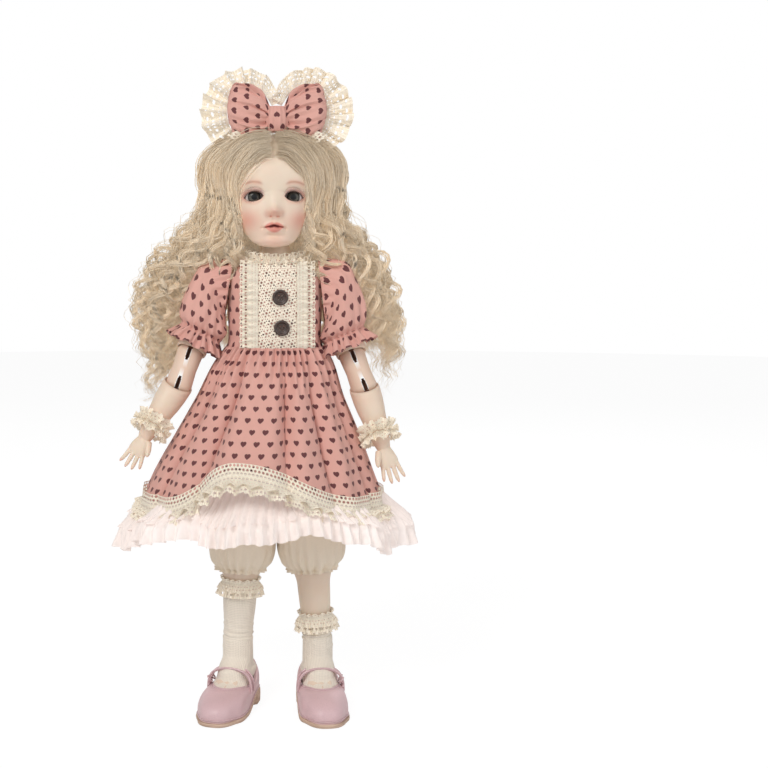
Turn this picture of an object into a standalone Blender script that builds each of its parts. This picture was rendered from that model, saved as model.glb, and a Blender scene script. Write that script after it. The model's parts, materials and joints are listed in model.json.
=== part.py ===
"""A dressed ball jointed doll at one sixth scale, standing on its shoes and facing -Y, in metres.

The resin body is a chain of balls and cups. Each cup is cut by a sphere a little larger than its ball, and
each joint's empty sits at that sphere's centre. Left and right are the doll's own: its left side is at +X.
"""

from math import asin, copysign, cos, pi, radians, sin, tan

import bmesh
import bpy
from mathutils import Euler, Vector

# Running gaps
BALL_GAP = 0.0006
SEAM_GAP = 0.0003
CLOTH_GAP = 0.0005
OVERRUN = 0.004

# Roundness
ROUND_SIDES = 14
SKIRT_SIDES = 32
BALL_BANDS = 5

# Heights of the joints above the floor
ANKLE_Z = 0.0320
SHIN_LONG = 0.0450
KNEE_LONG = 0.0130
THIGH_LONG = 0.0520
WAIST_RISE = 0.0300
HIP_Z = ANKLE_Z + SHIN_LONG + KNEE_LONG + THIGH_LONG

# Pelvis
HIP_HALF = 0.0145
HIP_BALL_R = 0.0095
PELVIS_HALF_X = 0.0240
PELVIS_HALF_Y = 0.0162
PELVIS_DROP = 0.0130
WAIST_BALL_R = 0.0125
PELVIS_SHARES = (
    (-1.0, 0.09, 0.60),
    (-0.50, 0.26, 0.84),
    (0.0, 0.98, 0.99),
    (0.62, 1.0, 1.0),
    (1.23, 0.88, 0.94),
)

# Chest
SHOULDER_HALF = 0.0272
SHOULDER_BALL_R = 0.0076
CHEST_RIM = 0.0040
CHEST_HALF_X = 0.0222
CHEST_HALF_Y = 0.0152
CHEST_TALL = 0.0545
NECK_TALL = 0.0100
NECK_RISE = CHEST_RIM + CHEST_TALL + NECK_TALL
SHOULDER_DROP = 0.0080
SHOULDER_RISE = CHEST_RIM + CHEST_TALL - SHOULDER_DROP
CHEST_SHARES = (
    (0.0, 0.955, 0.95),
    (0.18, 0.955, 0.97),
    (0.40, 0.965, 1.0),
    (0.62, 0.965, 1.0),
    (0.78, 0.98, 0.95),
    (0.88, 0.94, 0.84),
    (0.955, 0.68, 0.70),
)
NECK_BASE_R = 0.0088
NECK_TOP_R = 0.0064
NECK_BALL_R = 0.0078
NECK_MOUTH_R = 0.0038
NECK_HOOK_OVER = 0.0050
WAIST_CORD_R = 0.0022
WAIST_CORD_TOP = 0.0240
WAIST_MOUTH_R = 0.0056
CHEST_BORE_R = 0.0066
SHOULDER_BORE_SHARE = 0.30
HIP_BORE_SHARE = 0.40
HIP_RELIEF_ANGLES = (radians(40), radians(72))
HIP_RELIEF_R = 0.0097
HIP_RELIEF_SPREAD = radians(7)
CORD_R = 0.0011
CORD_LONG = 0.0040
HOOK_R = 0.0007
HOOK_LONG = 0.0050
HOOK_LOW_SHARE = 0.7
HOOK_HIGH_SHARE = 0.8

# Arms: the angles lean each piece away from the body, right arm first
UPPER_ARM_LONG = 0.0452
ELBOW_LONG = 0.0150
FOREARM_LONG = 0.0290
ELBOW_BALL_R = 0.0078
WRIST_BALL_R = 0.0048
UPPER_ARM_R = 0.0070
FOREARM_R = 0.0080
FOREARM_FULL_SHARE = 0.45
WRIST_RIM_SHARE = 0.3
HAND_LONG = 0.0270
HAND_WIDE = 0.0120
HAND_THICK = 0.0056
FINGER_R = 0.0014
THUMB_R = 0.0016
CUP_WALL = 0.0007
CUP_RISE = 0.0025
CUP_TILT = radians(18)
WAIST_SHARE = 0.84
SLOT_WIDE = 0.0014
SLOT_DEEP = 0.0022
SLOT_LONG = 0.0080
ARM_LEAN = {
    "right": (radians(22.5), radians(-3.5), radians(13), radians(14)),
    "left": (radians(17), radians(3.5), radians(-3.5), radians(10)),
}
ARM_FORWARD = (radians(5), radians(6), radians(7), radians(4))

HAND_SHARES = ((0.22, 0.62, 0.90), (0.38, 0.92, 0.96), (0.56, 1.0, 0.92), (0.68, 0.94, 0.74))
FINGER_SHARES = ((0.72, 0.92), (0.26, 1.0), (-0.24, 0.98), (-0.70, 0.88))
KNUCKLE_SHARE = 0.60
FINGER_FAN = 1.35
TIP_SHARE = 0.8
THUMB_OUT_SHARE = 0.72
THUMB_LONG_SHARE = 0.62
THUMB_ROOT_SHARE = 1.5

# Legs
KNEE_BALL_R = 0.0088
ANKLE_BALL_R = 0.0058
THIGH_R = 0.0126
CALF_R = 0.0086
LEG_LEAN = {"right": radians(2.5), "left": radians(4)}
TOE_OUT = {"right": radians(18), "left": radians(6)}
THIGH_SHARES = ((0.17, 0.60), (0.29, 0.68), (0.42, 1.0), (0.62, 0.95))
SHIN_SHARES = ((0.30, 1.0), (0.52, 0.94), (0.75, 0.82))

# Feet and shoes
FOOT_LONG = 0.0445
SHOE_ROOM = 0.0036
FOOT_SHARES = (
    (0.0, 0.50, 0.55),
    (0.07, 0.74, 0.95),
    (0.24, 0.80, 1.12),
    (0.42, 0.84, 1.02),
    (0.62, 0.98, 0.80),
    (0.82, 0.98, 0.60),
    (0.94, 0.76, 0.46),
    (1.0, 0.46, 0.32),
)
SOLE_SHARES = (
    (0.0, 0.56, 0.0),
    (0.03, 0.72, 0.0),
    (0.10, 0.86, 0.0),
    (0.27, 0.88, 0.0),
    (0.28, 0.88, 1.0),
    (0.42, 0.90, 1.0),
    (0.56, 0.94, 1.0),
    (0.72, 1.0, 1.0),
    (0.86, 0.96, 1.0),
    (0.94, 0.80, 1.0),
    (0.98, 0.58, 1.0),
    (1.0, 0.36, 1.0),
)
FOOTBED_SHARES = (0.26, 0.60)
SHOE_SHARES = (
    (0.0, 0.56, 0.62),
    (0.05, 0.82, 0.84),
    (0.28, 0.88, 0.84),
    (0.42, 0.90, 0.88),
    (0.58, 0.95, 0.92),
    (0.76, 1.0, 0.82),
    (0.92, 0.86, 0.64),
    (0.98, 0.60, 0.46),
    (1.0, 0.36, 0.34),
)
THROAT_SHARES = (0.31, 0.275, 0.83, 0.40)
STRAP_AT_SHARE = 0.46
STRAP_LOW_SHARE = 0.41
STRAP_SPAN_SHARE = 0.86
STRAP_RISE = 0.0130
STRAP_STEPS = 9
FOOT_WIDE = 0.0192
FOOT_TALL = 0.0125
HEEL_BACK = 0.0105
SOLE_LONG = 0.0540
SOLE_WIDE = 0.0252
SOLE_THICK = 0.0018
HEEL_TALL = 0.0055
INSTEP_SHARE = 0.95
INSTEP_WIDE_SHARE = 0.86
SHOE_ROUND = 0.75
UPPER_WALL = 0.0010
INSOLE = 0.0005
UPPER_TALL = 0.0165
STRAP_WIDE = 0.0045
SOCK_WALL = 0.0007
SOCK_TOP = {"right": 0.0650, "left": 0.0480}
SOCK_FRILL = 0.0100
SOCK_FRILL_OUT = 0.0030

# Head
HEAD_HALF_X = 0.0235
HEAD_HALF_Y = 0.0252
HEAD_TALL = 0.0565
HEAD_WALL = 0.0020
CHIN_DROP = 0.0040
HEAD_TURN = radians(3)
CAP_CUT_Z = 0.0380
CAP_CUT_LEAN = radians(24)
EYE_R = 0.0058
EYE_APART = 0.0100
EYE_UP = 0.0215
EYE_BACK = 0.0150
EYE_OPEN_WIDE = 0.0044
EYE_OPEN_TALL = 0.0030
HEAD_SHARES = (
    (0.0, 0.12, 0.14, -0.70),
    (0.03, 0.32, 0.34, -0.52),
    (0.09, 0.52, 0.52, -0.34),
    (0.18, 0.74, 0.74, -0.14),
    (0.30, 0.90, 0.90, -0.03),
    (0.45, 0.985, 0.98, 0.0),
    (0.60, 1.0, 1.0, 0.0),
    (0.74, 0.95, 0.955, 0.0),
    (0.86, 0.78, 0.80, 0.0),
    (0.945, 0.50, 0.52, 0.0),
    (1.0, 0.14, 0.15, 0.0),
)
HEAD_SIDES = 24
NOSE_OUT = 0.0030
NOSE_SHARES = {0.30: 1.0, 0.45: 0.25}
CAVITY_SHARES = (0.30, 0.945)

# Wig
WIG_WALL = 0.0062
LOCK_THICK = 0.0110
WIG_LOW_SHARE = 0.18
HAIRLINE_HALF = 0.0205
HAIRLINE_TALL = 0.0270
HAIRLINE_MIDDLE = 0.0140
HAIRLINE_BACK_SHARE = 0.25
LOCK_HALF = {"right": 0.0200, "left": 0.0165}
WIG_SIDE_LOW = -0.0845
WIG_SIDE_TALL = 0.1220
WIG_SPREAD = {"right": 0.0300, "left": 0.0160}
WIG_BACK_Y = 0.0220
WIG_BACK_STEP = 0.0020
WIG_BACK_LOW = -0.0520
WIG_BACK_TALL = 0.0579
WIG_BACK_HALF = 0.0250
LOCK_SHARES = (
    (0.0, 1.0, 1.0, 0.45, 0.7),
    (0.12, 0.95, 1.0, 0.90, 1.0),
    (0.38, 0.30, 0.98, 1.0, 1.0),
    (0.60, 0.12, 0.95, 0.95, 0.95),
    (0.68, 0.06, 0.55, 0.80, 1.0),
    (0.80, 0.03, 0.25, 0.66, 1.2),
    (0.94, 0.01, 0.05, 0.46, 1.2),
    (1.0, 0.0, 0.0, 0.30, 0.9),
)
WIG_BACK_SHARES = ((0.0, 0.70, 0.7), (0.2, 1.0, 1.0), (0.9, 0.95, 1.0), (1.0, 0.80, 0.7))

# Bow
BOW_UP = 0.0705
BOW_Y = -0.0080
KNOT_WIDE = 0.0130
KNOT_TALL = 0.0115
KNOT_THICK = 0.0110
LOOP_LONG = 0.0200
LOOP_TALL = 0.0260
LOOP_THICK = 0.0130
LACE_HALF = 0.0375
LACE_UP = 0.0190
LACE_THICK = 0.0030
BOW_SAG = 0.0052
KNOT_ROUND_SHARE = 0.30
LOOP_SHARES = ((0.0, 0.42, 0.60), (0.30, 0.84, 0.95), (0.75, 1.0, 1.0), (1.0, 0.80, 0.55))
BOW_LACE_SHARES = (
    (0.0, -0.55),
    (0.40, -0.60),
    (0.72, -0.95),
    (0.98, -0.55),
    (1.0, 0.20),
    (0.72, 0.85),
    (0.40, 1.0),
    (0.0, 0.62),
)

# Dress
CLOTH = 0.0010
BODICE_LOW_SHARE = 0.18
BODICE_LOW = CHEST_RIM + CHEST_TALL * BODICE_LOW_SHARE
BODICE_EASE = 0.0006
SKIRT_TALL = 0.0760
CHEST_TOP_OF_SKIRT = BODICE_LOW - SEAM_GAP
SKIRT_HALF_X = 0.0625
SKIRT_HALF_Y = 0.0580
SKIRT_SHIFT = -0.0065
SKIRT_FOLDS = 8
FOLD_SHARE = 0.025
SWAG_NARROW = 6
HEM_SWAG = 0.0200
HEM_SWAG_AT = radians(-113)
LACE_DROP = 0.0120
LACE_FLARE = 0.0050
HEM_LACE_SHARES = ((-0.5, 0.0), (0.0, 0.10), (1.0, 1.0))
ARMHOLE_IN = 0.0026
PETTICOAT_TALL = 0.0970
PETTICOAT_HALF_X = 0.0785
PETTICOAT_HALF_Y = 0.0690
SKIRT_SHARES = ((0.0, 0.40), (0.06, 0.455), (0.35, 0.61), (0.70, 0.815), (1.0, 1.0))
PETTICOAT_SHARES = ((0.0, 0.287), (0.15, 0.385), (0.53, 0.575), (0.75, 0.675), (1.0, 1.0))
COLLAR_IN = 0.0092
COLLAR_OUT = 0.0135
COLLAR_TALL_SHARE = 0.42
COLLAR_TALL = NECK_TALL * COLLAR_TALL_SHARE
BIB_HALF = 0.0180
BIB_TALL = 0.0400
BIB_THICK = 0.0012
BIB_GAP = 0.0005
BIB_STEPS = 6
BIB_RISE_SHARES = (0.0, 0.26, 0.60, 0.72, 0.82, 0.95, 1.0)
BUTTON_X = 0.0030
BUTTON_R = 0.0040
BUTTON_THICK = 0.0018
BUTTON_UP_SHARES = {"upper": 0.62, "lower": 0.24}
SLEEVE_PUFF = 0.0135
ARMHOLE_STEP = 0.0012
ARMHOLE_POWER_SHARE = 0.65
SLEEVE_SHARES = (
    (-0.06, 0.20, 0.56, 0.96, 0.76),
    (0.30, 0.45, 0.57, 1.0, 0.98),
    (0.62, 0.72, 0.66, 0.96, 0.94),
    (0.78, 0.88, 0.66, 0.70, 0.70),
    (0.90, 1.0, 0.74, 0.90, 0.88),
)

# Bloomers
BLOOMER_WAIST = 0.0258
BLOOMER_TOP = 0.0200
BLOOMER_LEG_R = 0.0138
BLOOMER_LOW = 0.0710
BLOOMER_SHARES = ((1.0, 1.0, 0.74), (0.40, 1.06, 0.78), (-0.30, 1.02, 0.74), (-0.95, 0.72, 0.60))
BLOOMER_LEG_SHARES = ((0.10, 0.70), (0.25, 0.98), (0.55, 1.0), (0.85, 0.97), (1.0, 0.82))

# Wrist lace
WRIST_LACE_R = 0.0104
WRIST_LACE_UP_SHARE = 0.4
WRIST_LACE_TALL = 0.0130
WRIST_LACE_SHARES = ((0.0, 0.94), (0.45, 0.94), (0.55, 0.86), (1.0, 1.0))

SIDES = {"right": -1, "left": 1}
SKIN = ("resin", (0.93, 0.80, 0.70), 0.45, 0.0)
PINK_CLOTH = ("print_cloth", (0.84, 0.50, 0.50), 0.9, 0.0)
LACE = ("lace", (0.93, 0.88, 0.80), 0.9, 0.0)
WHITE_CLOTH = ("petticoat_cloth", (0.95, 0.88, 0.87), 0.9, 0.0)
CREAM_CLOTH = ("bloomer_satin", (0.93, 0.87, 0.79), 0.6, 0.0)
SOCK_KNIT = ("sock_knit", (0.95, 0.92, 0.86), 0.9, 0.0)
HAIR = ("hair", (0.80, 0.72, 0.58), 0.5, 0.0)
SHOE_LEATHER = ("shoe_leather", (0.72, 0.46, 0.50), 0.45, 0.0)
SOLE_LEATHER = ("sole_leather", (0.62, 0.45, 0.38), 0.6, 0.0)
EYE_GLASS = ("eye_glass", (0.16, 0.18, 0.20), 0.1, 0.0)
BUTTON_WOOD = ("button", (0.13, 0.07, 0.05), 0.4, 0.0)
ELASTIC = ("elastic", (0.90, 0.90, 0.88), 0.8, 0.0)
STEEL = ("hook_steel", (0.65, 0.65, 0.66), 0.3, 1.0)


def clear_scene():
    for old in list(bpy.data.objects):
        bpy.data.objects.remove(old, do_unlink=True)


def material(spec):
    name, colour, roughness, metallic = spec
    made = bpy.data.materials.get(name)
    if made is None:
        made = bpy.data.materials.new(name)
        made.use_nodes = True
        shader = made.node_tree.nodes["Principled BSDF"]
        shader.inputs["Base Color"].default_value = (*colour, 1.0)
        shader.inputs["Roughness"].default_value = roughness
        shader.inputs["Metallic"].default_value = metallic
        made.diffuse_color = (*colour, 1.0)
    return made


def empty(name, parent=None, place=(0, 0, 0), turn=(0, 0, 0)):
    """An empty on a joint: its origin is the ball's centre, and -Z runs along the piece that it carries."""
    made = bpy.data.objects.new(name, None)
    bpy.context.collection.objects.link(made)
    made.parent = parent
    made.location = place
    made.rotation_euler = turn
    made.empty_display_size = HOOK_LONG
    return made


def ring(half_x, half_y, z, x=0.0, y=0.0, sides=ROUND_SIDES, lean=0.0, edge=None):
    """A closed ring of points. lean tips it about X, and edge(angle) gives a radius factor and a height."""
    points = []
    for step in range(sides):
        angle = 2 * pi * step / sides
        swell, lift = edge(angle) if edge else (1.0, 0.0)
        across, along = half_x * swell * cos(angle), half_y * swell * sin(angle)
        points.append(Vector((x + across, y + along, z + lift - along * tan(lean))))
    return points


def ball_rings(radius, start, end, bands=BALL_BANDS, z=0.0, sides=ROUND_SIDES):
    """Rings of a sphere between two angles measured down from its top."""
    rings = []
    for band in range(bands + 1):
        angle = start + (end - start) * band / bands
        rings.append(ring(radius * sin(angle), radius * sin(angle), z + radius * cos(angle), sides=sides))
    return rings


def mesh_object(name, build, spec, parent=None):
    mesh = bpy.data.meshes.new(name)
    shape = bmesh.new()
    build(shape)
    bmesh.ops.recalc_face_normals(shape, faces=shape.faces)
    shape.to_mesh(mesh)
    shape.free()
    mesh.shade_smooth()
    mesh.set_sharp_from_angle(angle=radians(40))
    made = bpy.data.objects.new(name, mesh)
    bpy.context.collection.objects.link(made)
    made.parent = parent
    if spec:
        mesh.materials.append(material(spec))
    return made


def bridge(shape, rings, closed):
    """Bands between neighbouring rings; in a closed shell both walls split along the same diagonals."""
    made = [[shape.verts.new(point) for point in points] for points in rings]
    pairs = list(zip(made, made[1:])) + ([(made[-1], made[0])] if closed else [])
    for number, (upper, lower) in enumerate(pairs):
        for step in range(len(upper)):
            after = (step + 1) % len(upper)
            corners = (upper[step], upper[after], lower[after], lower[step])
            if not closed:
                shape.faces.new(corners)
                continue
            first = 0 if number < len(rings) // 2 else 1
            shape.faces.new(corners[first : first + 3])
            shape.faces.new((corners[first + 2], corners[(first + 3) % 4], corners[first]))
    if not closed:
        shape.faces.new(made[0])
        shape.faces.new(made[-1])


def loft(name, rings, spec, parent=None):
    """A closed solid through rings, with a flat face over the first and the last."""
    return mesh_object(name, lambda shape: bridge(shape, rings, closed=False), spec, parent)


def tube(name, outer, inner, spec, parent=None):
    """A cloth shell: down the outer rings and back up the inner ones."""
    rings = list(outer) + list(reversed(inner))
    return mesh_object(name, lambda shape: bridge(shape, rings, closed=True), spec, parent)


def cutter(name, made):
    made.name = name
    made.hide_render = True
    made.display_type = "WIRE"
    return made


def cut(piece, tool, operation="DIFFERENCE", solver="EXACT"):
    change = piece.modifiers.new(tool.name, "BOOLEAN")
    change.operation = operation
    change.solver = solver
    change.object = tool


def ball_cutter(name, radius, parent=None, place=(0, 0, 0)):
    made = loft(name, ball_rings(radius, radians(12), radians(168), BALL_BANDS + 2), None, parent)
    made.location = place
    return cutter(name, made)


def rod(name, radius, start, end, spec, parent=None, sides=8, end_radius=None):
    """A round bar between two points, tapered where end_radius is given."""
    start, end = Vector(start), Vector(end)
    turn = (end - start).to_track_quat("Z", "Y").to_matrix()
    rings = []
    for place, size in ((start, radius), (end, end_radius or radius)):
        rings.append([place + turn @ point for point in ring(size, size, 0, sides=sides)])
    return loft(name, rings, spec, parent)


def bore(piece, name, radius, start, end, parent, end_radius=None, solver="EXACT"):
    tool = rod(name, radius, start, end, None, parent, end_radius=end_radius)
    cut(piece, cutter(name, tool), solver=solver)


def box_cutter(name, low, high, parent):
    corners = ((low[0], low[1]), (high[0], low[1]), (high[0], high[1]), (low[0], high[1]))
    rings = [[Vector((x, y, z)) for x, y in corners] for z in (low[2], high[2])]
    return cutter(name, loft(name, rings, None, parent))


def make_pelvis(hips):
    waist = WAIST_RISE
    rings = ball_rings(WAIST_BALL_R, radians(14), radians(92), 4, waist)
    for up, wide, deep in reversed(PELVIS_SHARES):
        rings.append(ring(PELVIS_HALF_X * wide, PELVIS_HALF_Y * deep, PELVIS_DROP * up))
    pelvis = loft("pelvis", rings, SKIN, hips)
    for side, sign in SIDES.items():
        place = (sign * HIP_HALF, 0, 0)
        cut(pelvis, ball_cutter(f"{side}_hip_socket", HIP_BALL_R + BALL_GAP, hips, place))
        inner = (sign * (HIP_HALF - HIP_BALL_R) * HIP_BORE_SHARE, 0, 0)
        bore(pelvis, f"{side}_hip_bore", CORD_R + SEAM_GAP, inner, place, hips)
        for number, angle in enumerate(HIP_RELIEF_ANGLES):
            away = Vector((sign * sin(HIP_RELIEF_SPREAD), -sin(angle), -cos(angle)))
            end = Vector(place) + away * PELVIS_HALF_Y * 2
            bore(pelvis, f"{side}_hip_relief_{number}", HIP_RELIEF_R, place, end, hips, solver="MANIFOLD")
    bottom = (0, 0, waist - WAIST_CORD_R * 2)
    top = (0, 0, waist + WAIST_BALL_R + OVERRUN)
    bore(pelvis, "waist_bore", WAIST_CORD_R + BALL_GAP, bottom, top, hips, end_radius=WAIST_MOUTH_R)


def make_waist_elastic(waist):
    low = SEAM_GAP - WAIST_CORD_R * 2
    rod("torso_elastic", WAIST_CORD_R, (0, 0, low), (0, 0, WAIST_CORD_TOP), ELASTIC, waist)


def chest_outline(ease=0.0, low=0.0):
    """Half widths and heights above the waist joint, for the chest or for cloth that clears it."""
    rings = []
    for up, wide, deep in CHEST_SHARES:
        if up >= low:
            z = CHEST_RIM + up * CHEST_TALL
            rings.append((CHEST_HALF_X * wide + ease, CHEST_HALF_Y * deep + ease, z))
    return rings


def make_chest(chest):
    rings = [ring(wide, deep, z) for wide, deep, z in chest_outline()]
    neck = NECK_RISE
    rings.append(ring(NECK_BASE_R, NECK_BASE_R, CHEST_RIM + CHEST_TALL))
    rings.append(ring(NECK_TOP_R, NECK_TOP_R, neck - NECK_BALL_R / 2))
    rings += reversed(ball_rings(NECK_BALL_R, radians(16), radians(105), 5, neck))
    made = loft("chest", rings, SKIN, chest)
    low = (0, 0, WAIST_BALL_R / 2)
    high = (0, 0, WAIST_CORD_TOP + OVERRUN)
    bore(made, "chest_bore", CHEST_BORE_R, low, high, chest, solver="MANIFOLD")
    cut(made, ball_cutter("waist_socket", WAIST_BALL_R + BALL_GAP, chest))
    for side, sign in SIDES.items():
        place = (sign * SHOULDER_HALF, 0, SHOULDER_RISE)
        cut(made, ball_cutter(f"{side}_shoulder_socket", SHOULDER_BALL_R + BALL_GAP, chest, place))
        inner = (sign * SHOULDER_HALF * SHOULDER_BORE_SHARE, 0, place[2])
        bore(made, f"{side}_shoulder_bore", CORD_R + SEAM_GAP, inner, place, chest)
    low = (0, 0, neck - CORD_LONG - OVERRUN)
    high = (0, 0, neck + NECK_BALL_R + OVERRUN)
    bore(made, "neck_bore", NECK_MOUTH_R, low, high, chest, solver="MANIFOLD")


def make_neck_link(nod, tilt):
    rod("neck_elastic", CORD_R, (0, 0, -CORD_LONG), (0, 0, -SEAM_GAP), ELASTIC, nod)
    rod("neck_hook", HOOK_R, (0, 0, SEAM_GAP), (0, 0, NECK_BALL_R + NECK_HOOK_OVER), STEEL, tilt)


def make_side_elastic(name, socket, sign, ball, reach):
    """The elastic leaves the body along the swing axis and ends in the ball, so it turns with the swing."""
    rod(name, CORD_R, (-sign * (ball + reach), 0, 0), (0, 0, 0), ELASTIC, socket)


def ball_slot(limb, name, sign, ball, joint, lean):
    """The slot that lets the elastic pass while the limb spreads, open at the inner side and on top."""
    half = CORD_R + SEAM_GAP
    inner, outer = -sign * (ball + OVERRUN), sign * half * 2
    low = (min(inner, outer), -half, -half * 2)
    high = (max(inner, outer), half, ball + OVERRUN)
    slot = box_cutter(name, low, high, joint)
    slot.rotation_euler = (0, lean, 0)
    cut(limb, slot)


def cup_limb(name, top_ball, profile, length, cup_ball, tilt, parent):
    """A limb piece: a ball above, a tapering shaft and, below, a cup for the next ball, open to the bend."""
    rings = ball_rings(top_ball, radians(14), radians(125), 5) if top_ball else []
    rings += [ring(radius, radius, z, lean=lean) for z, radius, lean in profile]
    limb = loft(name, rings, SKIN, parent)
    cut(limb, ball_cutter(f"{name}_cup", cup_ball + BALL_GAP, parent, (0, 0, -length)))
    return limb


def double_ball(name, radius, length, parent, sign_front):
    """The double joint: two balls on one waist, each with the slots that its elastic runs through."""
    half = length / 2
    rings = ball_rings(radius, radians(14), radians(82), 4)
    rings.append(ring(radius * WAIST_SHARE, radius * WAIST_SHARE, -half))
    rings += ball_rings(radius, radians(98), radians(166), 4, -length)
    made = loft(name, rings, SKIN, parent)
    for number, centre in enumerate((0, -length)):
        low = (-SLOT_WIDE / 2, sign_front * radius - SLOT_DEEP, centre - SLOT_LONG / 2)
        high = (SLOT_WIDE / 2, sign_front * radius + SLOT_DEEP, centre + SLOT_LONG / 2)
        cut(made, box_cutter(f"{name}_slot_{number}", low, high, parent))


def make_arm(side, sign, chest):
    lean = [-sign * angle for angle in ARM_LEAN[side]]
    place = (sign * SHOULDER_HALF, 0, SHOULDER_RISE)
    shoulder = empty(f"{side}_shoulder_frame", chest, place)
    arm = empty(f"{side}_arm_frame", shoulder, turn=(-ARM_FORWARD[0], lean[0], 0))
    elbow = empty(f"{side}_elbow_frame", arm, (0, 0, -UPPER_ARM_LONG), (-ARM_FORWARD[1], lean[1], 0))
    forearm = empty(f"{side}_forearm_frame", elbow, (0, 0, -ELBOW_LONG), (-ARM_FORWARD[2], lean[2], 0))
    wrist = empty(f"{side}_wrist_frame", forearm, (0, 0, -FOREARM_LONG), (-ARM_FORWARD[3], lean[3], 0))
    hand = empty(f"{side}_hand_frame", wrist)

    make_side_elastic(f"{side}_shoulder_elastic", shoulder, sign, SHOULDER_BALL_R, CORD_LONG)
    rim_r = ELBOW_BALL_R + BALL_GAP + CUP_WALL
    profile = (
        (-SHOULDER_BALL_R, UPPER_ARM_R, 0),
        (-UPPER_ARM_LONG / 2, UPPER_ARM_R, 0),
        (-UPPER_ARM_LONG + ELBOW_BALL_R, rim_r, 0),
        (-UPPER_ARM_LONG + CUP_RISE, rim_r, CUP_TILT),
    )
    name = f"{side}_upper_arm"
    upper = cup_limb(name, SHOULDER_BALL_R, profile, UPPER_ARM_LONG, ELBOW_BALL_R, CUP_TILT, arm)
    ball_slot(upper, f"{side}_shoulder_slot", sign, SHOULDER_BALL_R, shoulder, lean[0])
    double_ball(f"{side}_elbow_joint", ELBOW_BALL_R, ELBOW_LONG, elbow, -1)

    wrist_rim = WRIST_BALL_R + BALL_GAP + CUP_WALL / 2
    rings = [
        ring(rim_r, rim_r, -CUP_RISE, lean=-CUP_TILT),
        ring(rim_r, rim_r, -ELBOW_BALL_R),
        ring(FOREARM_R, FOREARM_R, -FOREARM_LONG * FOREARM_FULL_SHARE),
        ring(wrist_rim, wrist_rim, -FOREARM_LONG + WRIST_BALL_R),
        ring(wrist_rim, wrist_rim, -FOREARM_LONG + WRIST_BALL_R * WRIST_RIM_SHARE),
    ]
    lower = loft(f"{side}_forearm", rings, SKIN, forearm)
    cut(lower, ball_cutter(f"{side}_elbow_cup", ELBOW_BALL_R + BALL_GAP, forearm))
    cut(lower, ball_cutter(f"{side}_wrist_cup", WRIST_BALL_R + BALL_GAP, forearm, (0, 0, -FOREARM_LONG)))

    low = (0, 0, -WRIST_BALL_R * HOOK_HIGH_SHARE)
    high = (0, 0, WRIST_BALL_R * HOOK_HIGH_SHARE)
    rod(f"{side}_wrist_hook", HOOK_R, low, high, STEEL, wrist)
    make_hand(side, sign, hand)
    make_sleeve(side, sign, arm)
    make_wrist_lace(side, forearm)


def section(half_x, low, high, y, x=0.0, sides=12, power=1.0):
    """A closed upright ring across Y: an ellipse between two heights, squarer with a smaller power."""
    points = []
    for step in range(sides):
        angle = 2 * pi * step / sides
        across, up = cos(angle), sin(angle)
        across = abs(across) ** power * (1 if across > 0 else -1)
        up = abs(up) ** power * (1 if up > 0 else -1)
        points.append(Vector((x + half_x * across, y, (low + high) / 2 + (high - low) / 2 * up)))
    return points


def unite(piece, tools):
    for tool in tools:
        cut(piece, cutter(tool.name, tool), "UNION")


def make_hand(side, sign, hand):
    rings = ball_rings(WRIST_BALL_R, radians(20), radians(130), 4)
    for down, wide, thick in HAND_SHARES:
        rings.append(ring(HAND_WIDE / 2 * wide, HAND_THICK / 2 * thick, -HAND_LONG * down))
    palm = loft(f"{side}_hand", rings, SKIN, hand)
    knuckles = -HAND_LONG * KNUCKLE_SHARE
    fingers = []
    tip = FINGER_R * TIP_SHARE
    for number, (across, long) in enumerate(FINGER_SHARES):
        start = (HAND_WIDE / 2 * across * -sign, 0, knuckles)
        end = (start[0] * FINGER_FAN, -FINGER_R, -HAND_LONG * long)
        fingers.append(rod(f"{side}_finger_{number}", FINGER_R, start, end, SKIN, hand, end_radius=tip))
    start = (-sign * HAND_WIDE / 4, 0, -WRIST_BALL_R * THUMB_ROOT_SHARE)
    end = (-sign * HAND_WIDE * THUMB_OUT_SHARE, -FINGER_R, -HAND_LONG * THUMB_LONG_SHARE)
    fingers.append(rod(f"{side}_thumb", THUMB_R, start, end, SKIN, hand, end_radius=THUMB_R * TIP_SHARE))
    unite(palm, fingers)
    high = (0, 0, WRIST_BALL_R + OVERRUN)
    bore(palm, f"{side}_wrist_bore", HOOK_R + SEAM_GAP, (0, 0, -WRIST_BALL_R), high, hand)


def ring_between(inner, outer, half_y, power=1.0, sides=ROUND_SIDES):
    """A ring whose long way runs between two points of the XZ plane, squarer with a smaller power."""
    middle, reach = (inner + outer) / 2, (outer - inner) / 2
    points = []
    for step in range(sides):
        angle = 2 * pi * step / sides
        along = copysign(abs(cos(angle)) ** power, cos(angle))
        across = copysign(abs(sin(angle)) ** power, sin(angle))
        points.append(middle + reach * along + Vector((0, half_y * across, 0)))
    return points


def upper_arm_r(z):
    """The upper arm's radius at a height under its shoulder joint, z below zero."""
    flare = (-z - UPPER_ARM_LONG / 2) / (UPPER_ARM_LONG / 2 - ELBOW_BALL_R)
    rim_r = ELBOW_BALL_R + BALL_GAP + CUP_WALL
    return UPPER_ARM_R + (rim_r - UPPER_ARM_R) * min(1, max(0, flare))


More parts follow.
